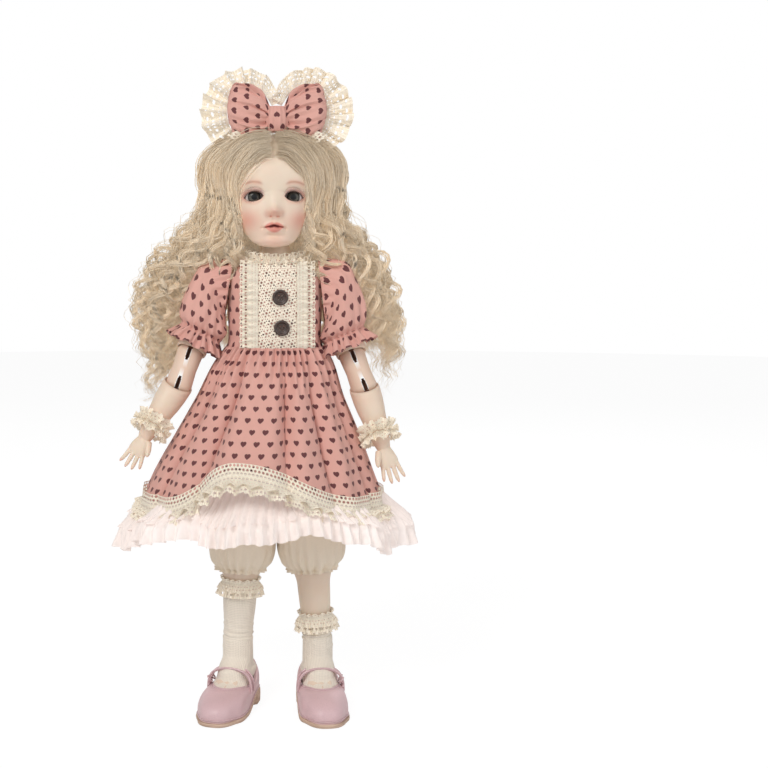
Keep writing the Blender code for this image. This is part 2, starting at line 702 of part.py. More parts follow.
def make_sleeve(side, sign, arm):
    """A puff from the armhole, upright beside the bodice, to the gathered cuff across the arm."""
    lean = ARM_LEAN[side][0]
    back = Euler((0, sign * lean, 0)).to_matrix()
    cuff = -UPPER_ARM_LONG * SLEEVE_SHARES[-1][0]
    outer, inner = [], []
    for wall, rings in ((CLOTH, outer), (0, inner)):
        close = UPPER_ARM_R + CLOTH_GAP + wall
        armpit = -(close * cos(lean) - ARMHOLE_STEP) / sin(lean)
        over = SHOULDER_BALL_R + CLOTH_GAP * 2 + wall
        top = back @ Vector((-sign * ARMHOLE_STEP, 0, over))
        rings.append(ring_between(Vector((-sign * close, 0, armpit)), top, over, ARMHOLE_POWER_SHARE))
        for down, under, tuck, puff, deep in SLEEVE_SHARES:
            under_z = armpit + (cuff - armpit) * under
            tucked = max(SLEEVE_PUFF * tuck, upper_arm_r(under_z) + CLOTH_GAP) + wall
            near = Vector((-sign * tucked, 0, under_z))
            far = Vector((sign * (SLEEVE_PUFF * puff + wall), 0, -UPPER_ARM_LONG * down))
            rings.append(ring_between(near, far, SLEEVE_PUFF * deep + wall))
    tube(f"{side}_sleeve", outer, inner, PINK_CLOTH, arm)


def make_wrist_lace(side, forearm):
    outer, inner = [], []
    for down, out in WRIST_LACE_SHARES:
        z = -FOREARM_LONG + WRIST_LACE_TALL * (1 - down) + WRIST_BALL_R * WRIST_LACE_UP_SHARE
        outer.append(ring(WRIST_LACE_R * out, WRIST_LACE_R * out, z))
        inner.append(ring(WRIST_LACE_R * out - CLOTH, WRIST_LACE_R * out - CLOTH, z))
    tube(f"{side}_wrist_lace", outer, inner, LACE, forearm)


def leg_reach():
    return THIGH_LONG + KNEE_LONG + SHIN_LONG


def make_leg(side, sign, hips):
    lean = LEG_LEAN[side]
    hip = empty(f"{side}_hip_frame", hips, (sign * HIP_HALF, 0, 0))
    thigh = empty(f"{side}_thigh_frame", hip, turn=(0, -sign * lean, 0))
    knee = empty(f"{side}_knee_frame", thigh, (0, 0, -THIGH_LONG))
    shin = empty(f"{side}_shin_frame", knee, (0, 0, -KNEE_LONG))
    ankle = empty(f"{side}_ankle_frame", shin, (0, 0, -SHIN_LONG), (0, sign * lean, 0))
    foot = empty(f"{side}_foot_frame", ankle, turn=(0, 0, sign * TOE_OUT[side]))

    make_side_elastic(f"{side}_hip_elastic", hip, sign, HIP_BALL_R, CORD_LONG / 2)
    rim_r = KNEE_BALL_R + BALL_GAP + CUP_WALL
    profile = [(-THIGH_LONG * down, THIGH_R * wide, 0) for down, wide in THIGH_SHARES]
    profile.append((-THIGH_LONG + KNEE_BALL_R, rim_r, 0))
    profile.append((-THIGH_LONG + CUP_RISE, rim_r, -CUP_TILT))
    upper = cup_limb(f"{side}_thigh", HIP_BALL_R, profile, THIGH_LONG, KNEE_BALL_R, -CUP_TILT, thigh)
    ball_slot(upper, f"{side}_hip_slot", sign, HIP_BALL_R, hip, -sign * lean)
    double_ball(f"{side}_knee_joint", KNEE_BALL_R, KNEE_LONG, knee, -1)

    ankle_rim = ANKLE_BALL_R + BALL_GAP + CUP_WALL
    rings = [ring(rim_r, rim_r, -CUP_RISE, lean=CUP_TILT), ring(rim_r, rim_r, -KNEE_BALL_R)]
    for down, wide in SHIN_SHARES:
        rings.append(ring(CALF_R * wide, CALF_R * wide, -SHIN_LONG * down))
    rings.append(ring(ankle_rim, ankle_rim, -SHIN_LONG + ANKLE_BALL_R))
    rings.append(ring(ankle_rim, ankle_rim, -SHIN_LONG + CUP_RISE))
    lower = loft(f"{side}_shin", rings, SKIN, shin)
    cut(lower, ball_cutter(f"{side}_knee_cup", KNEE_BALL_R + BALL_GAP, shin))
    cut(lower, ball_cutter(f"{side}_ankle_cup", ANKLE_BALL_R + BALL_GAP, shin, (0, 0, -SHIN_LONG)))
    low = (0, 0, -ANKLE_BALL_R * HOOK_LOW_SHARE)
    high = (0, 0, ANKLE_BALL_R * HOOK_HIGH_SHARE)
    rod(f"{side}_ankle_hook", HOOK_R, low, high, STEEL, ankle)

    floor = -(HIP_Z - leg_reach() * cos(lean))
    make_foot(side, foot, floor)
    make_sole(side, foot, floor)
    make_shoe(side, foot, floor)
    make_sock(side, foot, shin, floor)
    return thigh, knee


def sole_top(share):
    """The height of the shoe's footbed above the floor, from heel 0 to toe 1."""
    flat = SOLE_THICK
    if share <= FOOTBED_SHARES[0]:
        return flat + HEEL_TALL
    if share >= FOOTBED_SHARES[1]:
        return flat
    fall = (share - FOOTBED_SHARES[0]) / (FOOTBED_SHARES[1] - FOOTBED_SHARES[0])
    return flat + HEEL_TALL * (1 + cos(pi * fall)) / 2


def foot_sections(floor, grow):
    """Sections of the foot from heel to toe, widened all round for the sock's two faces."""
    lift = SEAM_GAP + INSOLE + CLOTH_GAP * 2 + SOCK_WALL
    sections = []
    last = len(FOOT_SHARES) - 1
    for number, (along, wide, tall) in enumerate(FOOT_SHARES):
        over = -grow if number == 0 else grow if number == last else 0
        y = HEEL_BACK - FOOT_LONG * along - over
        low = floor + sole_top(shoe_share(y)) + lift
        sections.append(section(FOOT_WIDE / 2 * wide + grow, low - grow, low + FOOT_TALL * tall + grow, y))
    return sections


def shoe_share(y):
    return (HEEL_BACK + SHOE_ROOM - y) / SOLE_LONG


def make_foot(side, foot, floor):
    rings = ball_rings(ANKLE_BALL_R, radians(20), radians(125), 5)
    heel_low = floor + sole_top(0)
    instep = ANKLE_BALL_R * INSTEP_SHARE
    rings.append(ring(ANKLE_BALL_R * INSTEP_WIDE_SHARE, instep, -ANKLE_BALL_R))
    rings.append(ring(instep, ANKLE_BALL_R, (heel_low - ANKLE_BALL_R) / 2))
    made = loft(f"{side}_foot", rings, SKIN, foot)
    unite(made, [loft(f"{side}_foot_body", foot_sections(floor, 0), SKIN, foot)])
    high = (0, 0, ANKLE_BALL_R + OVERRUN)
    bore(made, f"{side}_ankle_bore", HOOK_R + SEAM_GAP, (0, 0, -ANKLE_BALL_R), high, foot)


def make_sole(side, foot, floor):
    rings = []
    for along, wide, low in SOLE_SHARES:
        y = HEEL_BACK + SHOE_ROOM - SOLE_LONG * along
        half = SOLE_WIDE / 2 * wide
        top = floor + sole_top(along)
        bottom = floor + (sole_top(along) - SOLE_THICK) * low
        corners = ((half, top), (-half, top), (-half, bottom), (half, bottom))
        rings.append([Vector((x, y, z)) for x, z in corners])
    loft(f"{side}_shoe_sole", rings, SOLE_LEATHER, foot)


def shoe_sections(floor, inset):
    sections = []
    last = len(SHOE_SHARES) - 1
    for number, (along, wide, tall) in enumerate(SHOE_SHARES):
        step = inset if number == 0 else -inset if number == last else 0
        y = HEEL_BACK + SHOE_ROOM - SOLE_LONG * along - step
        base = floor + sole_top(along) + SEAM_GAP
        half = SOLE_WIDE / 2 * wide
        high = base + UPPER_TALL * tall
        low = base + (INSOLE if inset else 0)
        sections.append(section(half - inset, low, high - inset, y, power=SHOE_ROUND))
    return sections


def make_shoe(side, foot, floor):
    """The upper is hollow and open at the throat, and a strap arches over the instep."""
    upper = loft(f"{side}_shoe_upper", shoe_sections(floor, 0), SHOE_LEATHER, foot)
    hollow = loft(f"{side}_shoe_hollow", shoe_sections(floor, UPPER_WALL), None, foot)
    cut(upper, cutter(f"{side}_shoe_hollow", hollow))
    middle = HEEL_BACK + SHOE_ROOM - SOLE_LONG * THROAT_SHARES[0]
    half_y = SOLE_LONG * THROAT_SHARES[1]
    half_x = SOLE_WIDE / 2 * THROAT_SHARES[2]
    low = floor + sole_top(0) + UPPER_TALL * THROAT_SHARES[3]
    rings = [ring(half_x, half_y, z, y=middle) for z in (low, floor + UPPER_TALL * 3)]
    cut(upper, cutter(f"{side}_shoe_throat", loft(f"{side}_shoe_throat", rings, None, foot)))
    y = HEEL_BACK + SHOE_ROOM - SOLE_LONG * STRAP_AT_SHARE
    base = floor + sole_top(STRAP_AT_SHARE) + UPPER_TALL * STRAP_LOW_SHARE
    span = SOLE_WIDE / 2 * STRAP_SPAN_SHARE
    rings = []
    for step in range(STRAP_STEPS + 1):
        angle = pi * step / STRAP_STEPS
        points = []
        for out, fore in ((0, -1), (0, 1), (1, 1), (1, -1)):
            across = (span + UPPER_WALL * out) * cos(angle)
            up = (STRAP_RISE + UPPER_WALL * out) * sin(angle)
            points.append(Vector((across, y + fore * STRAP_WIDE / 2, base + up)))
        rings.append(points)
    strap = cutter(f"{side}_strap", loft(f"{side}_strap", rings, SHOE_LEATHER, foot))
    cut(upper, strap, "UNION", "MANIFOLD")


def make_sock(side, foot, shin, floor):
    """A knitted tube on the shin joined to a foot, hollow all through, with its lace top turned out."""
    top = SOCK_TOP[side] + floor - SHIN_LONG
    outer, inner = [], []
    ankle_rim = ANKLE_BALL_R + BALL_GAP + CUP_WALL
    low = -SHIN_LONG - ANKLE_BALL_R * 2
    for z, out in ((top, SOCK_FRILL_OUT), (top - SOCK_FRILL, SOCK_FRILL_OUT)):
        radius = shin_r(z) + CLOTH_GAP + SOCK_WALL + out
        outer.append(ring(radius, radius, z))
    z = top - SOCK_FRILL - SOCK_WALL
    outer.append(ring(shin_r(z) + CLOTH_GAP + SOCK_WALL, shin_r(z) + CLOTH_GAP + SOCK_WALL, z))
    steps = (z, min(-SHIN_LONG + ANKLE_BALL_R, z - SOCK_WALL), low)
    for z in steps[1:]:
        radius = max(shin_r(z), ankle_rim) + CLOTH_GAP + SOCK_WALL
        outer.append(ring(radius, radius, z))
    for z in (top + OVERRUN,) + steps:
        radius = max(shin_r(z), ankle_rim) + CLOTH_GAP
        inner.append(ring(radius, radius, z - (ANKLE_BALL_R / 2 if z == low else 0)))
    sock = loft(f"{side}_sock", outer, SOCK_KNIT, shin)
    grow = CLOTH_GAP + SOCK_WALL
    unite(sock, [loft(f"{side}_sock_foot", foot_sections(floor, grow), SOCK_KNIT, foot)])
    hollow = loft(f"{side}_sock_hollow", inner, None, shin)
    room = loft(f"{side}_sock_room", foot_sections(floor, CLOTH_GAP), None, foot)
    cut(sock, cutter(hollow.name, hollow))
    cut(sock, cutter(room.name, room))


def shin_r(z):
    """The shin's radius at a height under its upper joint, z below zero."""
    rim = KNEE_BALL_R + BALL_GAP + CUP_WALL
    ankle_rim = ANKLE_BALL_R + BALL_GAP + CUP_WALL
    places = [(KNEE_BALL_R, rim)] + [(SHIN_LONG * down, CALF_R * wide) for down, wide in SHIN_SHARES]
    places.append((SHIN_LONG - ANKLE_BALL_R, ankle_rim))
    for (above, first), (below, second) in zip(places, places[1:]):
        if above <= -z <= below:
            return first + (second - first) * (-z - above) / (below - above)
    return rim if -z < KNEE_BALL_R else ankle_rim


def make_bloomers(hips, legs):
    """Short loose trousers: a waist, two puffed legs and gathered hems, hollow all through."""
    shells = {}
    for layer, wall in (("bloomers", CLOTH), ("bloomer_room", 0)):
        spill = 0 if wall else OVERRUN
        rings = []
        for up, wide, deep in BLOOMER_SHARES:
            z = BLOOMER_TOP * up + (spill if up == 1 else 0)
            rings.append(ring(BLOOMER_WAIST * wide + wall, BLOOMER_WAIST * deep + wall, z))
        shells[layer] = [loft(layer, rings, CREAM_CLOTH if wall else None, hips)]
        for (side, lean), thigh in zip(LEG_LEAN.items(), legs):
            rings = []
            for share, puff in BLOOMER_LEG_SHARES:
                z = -BLOOMER_LOW / cos(lean) * share - (spill if share == 1 else 0)
                rings.append(ring(BLOOMER_LEG_R * puff + wall, BLOOMER_LEG_R * puff + wall, z))
            shells[layer].append(loft(f"{side}_{layer}_leg", rings, None, thigh))
    unite(shells["bloomers"][0], shells["bloomers"][1:])
    for room in shells["bloomer_room"]:
        cut(shells["bloomers"][0], cutter(room.name, room))


def head_rings(grow, low=0.0, high=1.0, nose=False):
    """Rings of the head by their share of its height, widened all round, with the nose in front."""
    rings = []
    for up, wide, deep, shift in HEAD_SHARES:
        if low <= up <= high:
            z = HEAD_TALL * up - CHIN_DROP + (grow if up == 1 else 0)
            points = ring(
                HEAD_HALF_X * wide + grow, HEAD_HALF_Y * deep + grow, z, y=HEAD_HALF_Y * shift, sides=HEAD_SIDES
            )
            if nose:
                points[HEAD_SIDES * 3 // 4].y -= NOSE_OUT * NOSE_SHARES.get(up, 0)
            rings.append(points)
    return rings


def half_space(name, parent, lift):
    """A large slab above the cut between the face half and the cap, which leans down to the back."""
    size = HEAD_TALL * 2
    box = box_cutter(name, (-size, -size, lift), (size, size, size), parent)
    box.location = (0, 0, CAP_CUT_Z)
    box.rotation_euler = (-CAP_CUT_LEAN, 0, 0)
    return box


def make_head(head):
    cavity_floor = NECK_BALL_R + BALL_GAP + HEAD_WALL
    for name, keep in (("head_face", "DIFFERENCE"), ("head_cap", "INTERSECT")):
        skull = loft(name, head_rings(0, nose=True), SKIN, head)
        rings = head_rings(-HEAD_WALL, low=CAVITY_SHARES[0], high=CAVITY_SHARES[1])
        hollow = cutter(f"{name}_hollow", loft(f"{name}_hollow", rings, None, head))
        cut(skull, hollow)
        lift = 0 if keep == "DIFFERENCE" else SEAM_GAP
        cut(skull, half_space(f"{name}_half", head, lift), keep)
        if name == "head_cap":
            continue
        cut(skull, ball_cutter("neck_socket", NECK_BALL_R + BALL_GAP, head))
        bore(skull, "hook_bore", HOOK_R + SEAM_GAP, (0, 0, 0), (0, 0, cavity_floor + OVERRUN * 2), head)
        for side, sign in SIDES.items():
            place = (sign * EYE_APART, -EYE_BACK, EYE_UP)
            cut(skull, ball_cutter(f"{side}_eye_socket", EYE_R + SEAM_GAP, head, place))
            points = []
            for y in (-HEAD_HALF_Y * 2, -EYE_BACK):
                centre = Vector((place[0], y, EYE_UP))
                points.append(
                    [centre + Vector((p.x, 0, p.y)) for p in ring(EYE_OPEN_WIDE, EYE_OPEN_TALL, 0, sides=12)]
                )
            cut(skull, cutter(f"{side}_eye_opening", loft(f"{side}_eye_opening", points, None, head)))
    for side, sign in SIDES.items():
        eye = loft(f"{side}_eye", ball_rings(EYE_R, radians(20), radians(160), 5, sides=12), EYE_GLASS, head)
        eye.location = (sign * EYE_APART, -EYE_BACK, EYE_UP)
        eye.rotation_euler = (radians(90), 0, 0)


def make_wig(head):
    cap = loft("wig_cap", head_rings(WIG_WALL, low=WIG_LOW_SHARE), HAIR, head)
    room = loft("wig_room", head_rings(SEAM_GAP, low=0.0), None, head)
    cut(cap, cutter("wig_room", room))
    points = []
    for y in (-HEAD_HALF_Y * 2, -HEAD_HALF_Y * HAIRLINE_BACK_SHARE):
        outline = ring(HAIRLINE_HALF, HAIRLINE_TALL, 0)
        points.append([Vector((p.x, y, HAIRLINE_MIDDLE + p.y)) for p in outline])
    cut(cap, cutter("wig_opening", loft("wig_opening", points, None, head)))
    for side, sign in SIDES.items():
        rings = []
        for height, out, back, half, deep in LOCK_SHARES:
            z = WIG_SIDE_LOW + WIG_SIDE_TALL * height
            near = HEAD_HALF_X + WIG_WALL + CLOTH_GAP + WIG_SPREAD[side] * out
            x = sign * (near + LOCK_HALF[side] * half)
            size = (LOCK_HALF[side] * half, LOCK_THICK / 2 * deep)
            rings.append(ring(*size, z, x=x, y=WIG_BACK_Y * back, sides=12))
        loft(f"wig_{side}", rings, HAIR, head)
    rings = []
    for height, wide, deep in WIG_BACK_SHARES:
        z = WIG_BACK_LOW + WIG_BACK_TALL * height
        y = WIG_BACK_Y + WIG_BACK_STEP
        rings.append(ring(WIG_BACK_HALF * wide, LOCK_THICK / 2 * deep, z, y=y, sides=12))
    loft("wig_back", rings, HAIR, head)


def make_bow(head):
    middle = BOW_UP
    rings = []
    for share in (-1, 0, 1):
        size = 1 - KNOT_ROUND_SHARE * abs(share)
        z = middle - BOW_SAG + KNOT_TALL / 2 * share
        rings.append(ring(KNOT_WIDE / 2 * size, KNOT_THICK / 2 * size, z, y=BOW_Y, sides=12))
    loft("bow_knot", rings, PINK_CLOTH, head)
    for side, sign in SIDES.items():
        rings = []
        for out, tall, thick in LOOP_SHARES:
            x = sign * (KNOT_WIDE / 2 + SEAM_GAP + LOOP_LONG * out)
            z = middle - BOW_SAG * (1 - out)
            points = []
            for step in range(12):
                angle = 2 * pi * step / 12
                y = BOW_Y + LOOP_THICK / 2 * thick * cos(angle)
                points.append(Vector((x, y, z + LOOP_TALL / 2 * tall * sin(angle))))
            rings.append(points)
        loft(f"{side}_bow_loop", rings, PINK_CLOTH, head)
    back = BOW_Y + max(LOOP_THICK, KNOT_THICK) / 2 + SEAM_GAP
    rings = []
    for y in (back, back + LACE_THICK):
        outline = [(x, z) for x, z in BOW_LACE_SHARES] + [(-x, z) for x, z in reversed(BOW_LACE_SHARES) if x]
        rings.append([Vector((LACE_HALF * x, y, middle + LACE_UP * z)) for x, z in outline])
    loft("bow_lace", rings, LACE, head)


def make_bodice(chest):
    outer, inner = [], []
    for wide, deep, z in chest_outline(BODICE_EASE, low=BODICE_LOW_SHARE):
        inner.append(ring(wide, deep, z))
        outer.append(ring(wide + CLOTH, deep + CLOTH, z))
    z = CHEST_RIM + CHEST_TALL
    inner.append(ring(NECK_BASE_R + BODICE_EASE, NECK_BASE_R + BODICE_EASE, z))
    outer.append(ring(NECK_BASE_R + BODICE_EASE + CLOTH, NECK_BASE_R + BODICE_EASE + CLOTH, z + CLOTH))
    bodice = tube("dress_bodice", outer, inner, PINK_CLOTH, chest)
    for side, sign in SIDES.items():
        lean = ARM_LEAN[side][0]
        drop = (UPPER_ARM_R / cos(lean) - ARMHOLE_IN) / tan(lean) + CLOTH_GAP * 2
        high = SHOULDER_BALL_R + CLOTH_GAP * 2
        rings = []
        for x in (SHOULDER_HALF / 2, SHOULDER_HALF + SHOULDER_HALF / 2):
            middle = SHOULDER_RISE + (high - drop) / 2
            outline = ring(SHOULDER_BALL_R + CLOTH_GAP * 2, (high + drop) / 2, 0)
            rings.append([Vector((sign * x, p.x, middle + p.y)) for p in outline])
        cut(bodice, cutter(f"{side}_armhole", loft(f"{side}_armhole", rings, None, chest)))


def skirt_edge(down, hem=True):
    """Folds that deepen towards the hem, and the hem's one lifted swag."""

    def edge(angle):
        fold = 1 + FOLD_SHARE * down * cos(SKIRT_FOLDS * angle)
        swag = max(0.0, cos(angle - HEM_SWAG_AT)) ** SWAG_NARROW if hem else 0.0
        return fold, HEM_SWAG * swag * down**2

    return edge


def skirt_ring(down, wide, z, grow, hem=True, half=(0, 0), shift=SKIRT_SHIFT):
    edge = skirt_edge(down, hem)
    size = (half[0] * wide + grow, half[1] * wide + grow)
    return ring(size[0], size[1], z, x=shift * down, sides=SKIRT_SIDES, edge=edge)


def make_skirt(chest):
    top = CHEST_TOP_OF_SKIRT
    outer, inner = [], []
    for down, wide in SKIRT_SHARES:
        z = top - SKIRT_TALL * down
        outer.append(skirt_ring(down, wide, z, 0, half=(SKIRT_HALF_X, SKIRT_HALF_Y)))
        inner.append(skirt_ring(down, wide, z, -CLOTH, half=(SKIRT_HALF_X, SKIRT_HALF_Y)))
    tube("dress_skirt", outer, inner, PINK_CLOTH, chest)
    outer, inner = [], []
    for over, flare in HEM_LACE_SHARES:
        z = top - SKIRT_TALL - LACE_DROP * over
        size = (SKIRT_HALF_X, SKIRT_HALF_Y)
        inner.append(skirt_ring(1.0, 1.0, z, CLOTH_GAP + LACE_FLARE * flare, half=size))
        outer.append(skirt_ring(1.0, 1.0, z, CLOTH_GAP + LACE_FLARE * flare + CLOTH, half=size))
    tube("hem_lace", outer, inner, LACE, chest)


def make_petticoat(chest):
    outer, inner = [], []
    for down, wide in PETTICOAT_SHARES:
        z = CHEST_TOP_OF_SKIRT - CLOTH_GAP * 10 - PETTICOAT_TALL * down
        size = (PETTICOAT_HALF_X, PETTICOAT_HALF_Y)
        outer.append(skirt_ring(down, wide, z, 0, hem=False, half=size))
        inner.append(skirt_ring(down, wide, z, -CLOTH, hem=False, half=size))
    tube("petticoat", outer, inner, WHITE_CLOTH, chest)


def make_collar(chest):
    outer, inner = [], []
    base = CHEST_RIM + CHEST_TALL + CLOTH + SEAM_GAP
    for up in (0, 1):
        radius = COLLAR_IN + (COLLAR_OUT - COLLAR_IN) * up
        outer.append(ring(radius + CLOTH, radius + CLOTH, base + COLLAR_TALL * up))
        inner.append(ring(radius, radius, base + COLLAR_TALL * up))
    tube("neck_lace", outer, inner, LACE, chest)


def front_of_bodice(angle, z):
    """The point on the bodice's outer face at an angle round it and a height above the waist joint."""
    rings = chest_outline(BODICE_EASE + CLOTH, low=BODICE_LOW_SHARE)
    for (wide, deep, low), (wide_up, deep_up, high) in zip(rings, rings[1:]):
        if low <= z <= high:
            part = (z - low) / (high - low)
            half_x, half_y = wide + (wide_up - wide) * part, deep + (deep_up - deep) * part
            return half_x * cos(angle), half_y * sin(angle)
    wide, deep, _ = rings[-1]
    return wide * cos(angle), deep * sin(angle)


def make_bib(chest):
    rings = []
    reach = asin(BIB_HALF / (CHEST_HALF_X + BODICE_EASE + CLOTH))
    for share in BIB_RISE_SHARES:
        z = BODICE_LOW + CLOTH_GAP + BIB_TALL * share
        near, far = [], []
        for step in range(BIB_STEPS + 1):
            angle = -pi / 2 - reach + 2 * reach * step / BIB_STEPS
            x, y = front_of_bodice(angle, z)
            near.append(Vector((x, y - BIB_GAP, z)))
            far.append(Vector((x, y - BIB_GAP - BIB_THICK, z)))
        rings.append(far + near[::-1])
    loft("bib_lace", rings, LACE, chest)
    for name, share in BUTTON_UP_SHARES.items():
        z = BODICE_LOW + BIB_TALL * share
        front = front_of_bodice(-pi / 2, z)[1] - BIB_GAP - BIB_THICK - BIB_GAP
        start, end = (BUTTON_X, front, z), (BUTTON_X, front - BUTTON_THICK, z)
        rod(f"button_{name}", BUTTON_R, start, end, BUTTON_WOOD, chest, sides=16)


def centre_over_origin(doll):
    """Moves the whole doll so that the middle of its box stands over the origin."""
    bpy.context.view_layer.update()
    pieces = [piece for piece in bpy.context.scene.objects if piece.type == "MESH" and not piece.hide_render]
    corners = [piece.matrix_world @ vertex.co for piece in pieces for vertex in piece.data.vertices]
    for axis in (0, 1):
        spread = [corner[axis] for corner in corners]
        doll.location[axis] = -(max(spread) + min(spread)) / 2


def main():
    clear_scene()
    doll = empty("doll_frame")
    hips = empty("pelvis_frame", doll, (0, 0, HIP_Z))
    waist = empty("waist_frame", hips, (0, 0, WAIST_RISE))
    chest = empty("chest_frame", waist)
    nod = empty("neck_nod_frame", chest, (0, 0, NECK_RISE))
    tilt = empty("neck_tilt_frame", nod)
    head = empty("head_frame", tilt, turn=(0, 0, HEAD_TURN))

    make_pelvis(hips)
    make_waist_elastic(waist)
    make_chest(chest)
    make_neck_link(nod, tilt)
    make_head(head)
    make_wig(head)
    make_bow(head)
    make_bodice(chest)
    make_skirt(chest)
    make_petticoat(chest)
    make_collar(chest)
    make_bib(chest)
    legs = []
    for side, sign in SIDES.items():
        make_arm(side, sign, chest)
        legs.append(make_leg(side, sign, hips)[0])
    make_bloomers(hips, legs)
    centre_over_origin(doll)


main()
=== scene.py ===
"""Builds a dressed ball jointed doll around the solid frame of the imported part.

Sizes are in metres unless a name says otherwise. The doll faces -Y, and left and right are its own.
"""

import json
from math import cos, pi, radians, sin

import bmesh
import bpy
import numpy as np
from bpy.props import FloatProperty, FloatVectorProperty, IntProperty, PointerProperty
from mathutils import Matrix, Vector


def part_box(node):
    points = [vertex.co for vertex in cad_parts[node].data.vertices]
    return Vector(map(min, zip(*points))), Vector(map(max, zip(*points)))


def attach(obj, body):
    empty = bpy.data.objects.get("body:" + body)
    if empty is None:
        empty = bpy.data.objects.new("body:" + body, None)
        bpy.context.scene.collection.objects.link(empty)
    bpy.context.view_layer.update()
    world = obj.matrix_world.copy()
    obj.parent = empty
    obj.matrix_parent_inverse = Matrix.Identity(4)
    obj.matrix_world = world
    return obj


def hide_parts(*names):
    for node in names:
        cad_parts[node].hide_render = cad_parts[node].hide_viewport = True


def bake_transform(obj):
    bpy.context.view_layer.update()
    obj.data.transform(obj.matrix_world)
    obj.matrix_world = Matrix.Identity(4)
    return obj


bl_info = {
    "name": "Dressed ball jointed doll",
    "version": (1, 0, 0),
    "blender": (4, 5, 0),
    "location": "View3D > Sidebar > Doll",
    "description": "Builds a dressed doll with a curled wig around its jointed body",
    "category": "Object",
}

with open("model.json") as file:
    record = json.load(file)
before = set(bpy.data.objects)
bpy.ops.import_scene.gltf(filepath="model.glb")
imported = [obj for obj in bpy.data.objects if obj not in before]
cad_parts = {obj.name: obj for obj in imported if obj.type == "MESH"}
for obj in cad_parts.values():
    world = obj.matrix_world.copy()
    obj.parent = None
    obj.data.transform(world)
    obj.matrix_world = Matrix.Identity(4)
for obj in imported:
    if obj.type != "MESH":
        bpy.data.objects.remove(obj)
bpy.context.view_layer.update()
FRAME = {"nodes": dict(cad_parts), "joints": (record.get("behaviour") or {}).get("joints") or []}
JOINTS = {joint["name"]: joint for joint in FRAME["joints"]}
SIDES = {"right": -1, "left": 1}
MM = 0.001


def joint_at(name):
    return np.array(JOINTS[name]["pos_m"])


MIDDLE = joint_at("waist_tilt")[0]
NECK = joint_at("neck_turn")
HEAD_TURN = radians(3)


def linear(colour):
    """A screen colour of 0 to 1 as the linear values that a shader takes."""
    shares = np.asarray(colour, float)
    return np.where(shares <= 0.04045, shares / 12.92, ((shares + 0.055) / 1.055) ** 2.4)


def step(value, low, high):
    share = np.clip((value - low) / (high - low), 0, 1)
    return share * share * (3 - 2 * share)


def hill(value, centre, width):
    return np.exp(-(((value - centre) / width) ** 2))


def spline(value, places, values):
    """A smooth curve through values at rising places. Values may be rows of numbers or whole rings."""
    places, values = np.asarray(places, float), np.asarray(values, float)
    slope = np.gradient(values, places, axis=0)
    value = np.clip(value, places[0], places[-1])
    at = np.clip(np.searchsorted(places, value) - 1, 0, len(places) - 2)
    span = places[at + 1] - places[at]
    share = (value - places[at]) / span
    extra = (1,) * (values.ndim - 1)
    span, share = span.reshape(span.shape + extra), share.reshape(share.shape + extra)
    first, last = values[at], values[at + 1]
    start, end = slope[at] * span, slope[at + 1] * span
    square, cube = share**2, share**3
    return (
        first * (2 * cube - 3 * square + 1)
        + start * (cube - 2 * square + share)
        + last * (3 * square - 2 * cube)
        + end * (cube - square)
    )


def skin(rings, rows, places=None):
    """Rings filled in with more between them, smoothly."""
    rings = np.asarray(rings, float)
    places = np.arange(len(rings)) if places is None else places
    return spline(np.linspace(places[0], places[-1], rows), places, rings)


def turn(count):
    return np.linspace(0, 2 * pi, count, endpoint=False)


def ring(half_x, half_y, z, x=0.0, y=0.0, count=64, lean=0.0):
    angle = turn(count)
    along = half_y * np.sin(angle)
    return np.stack([x + half_x * np.cos(angle), y + along, z - along * np.tan(lean)], -1)


def unit(vector):
    return vector / np.linalg.norm(vector, axis=-1, keepdims=True)


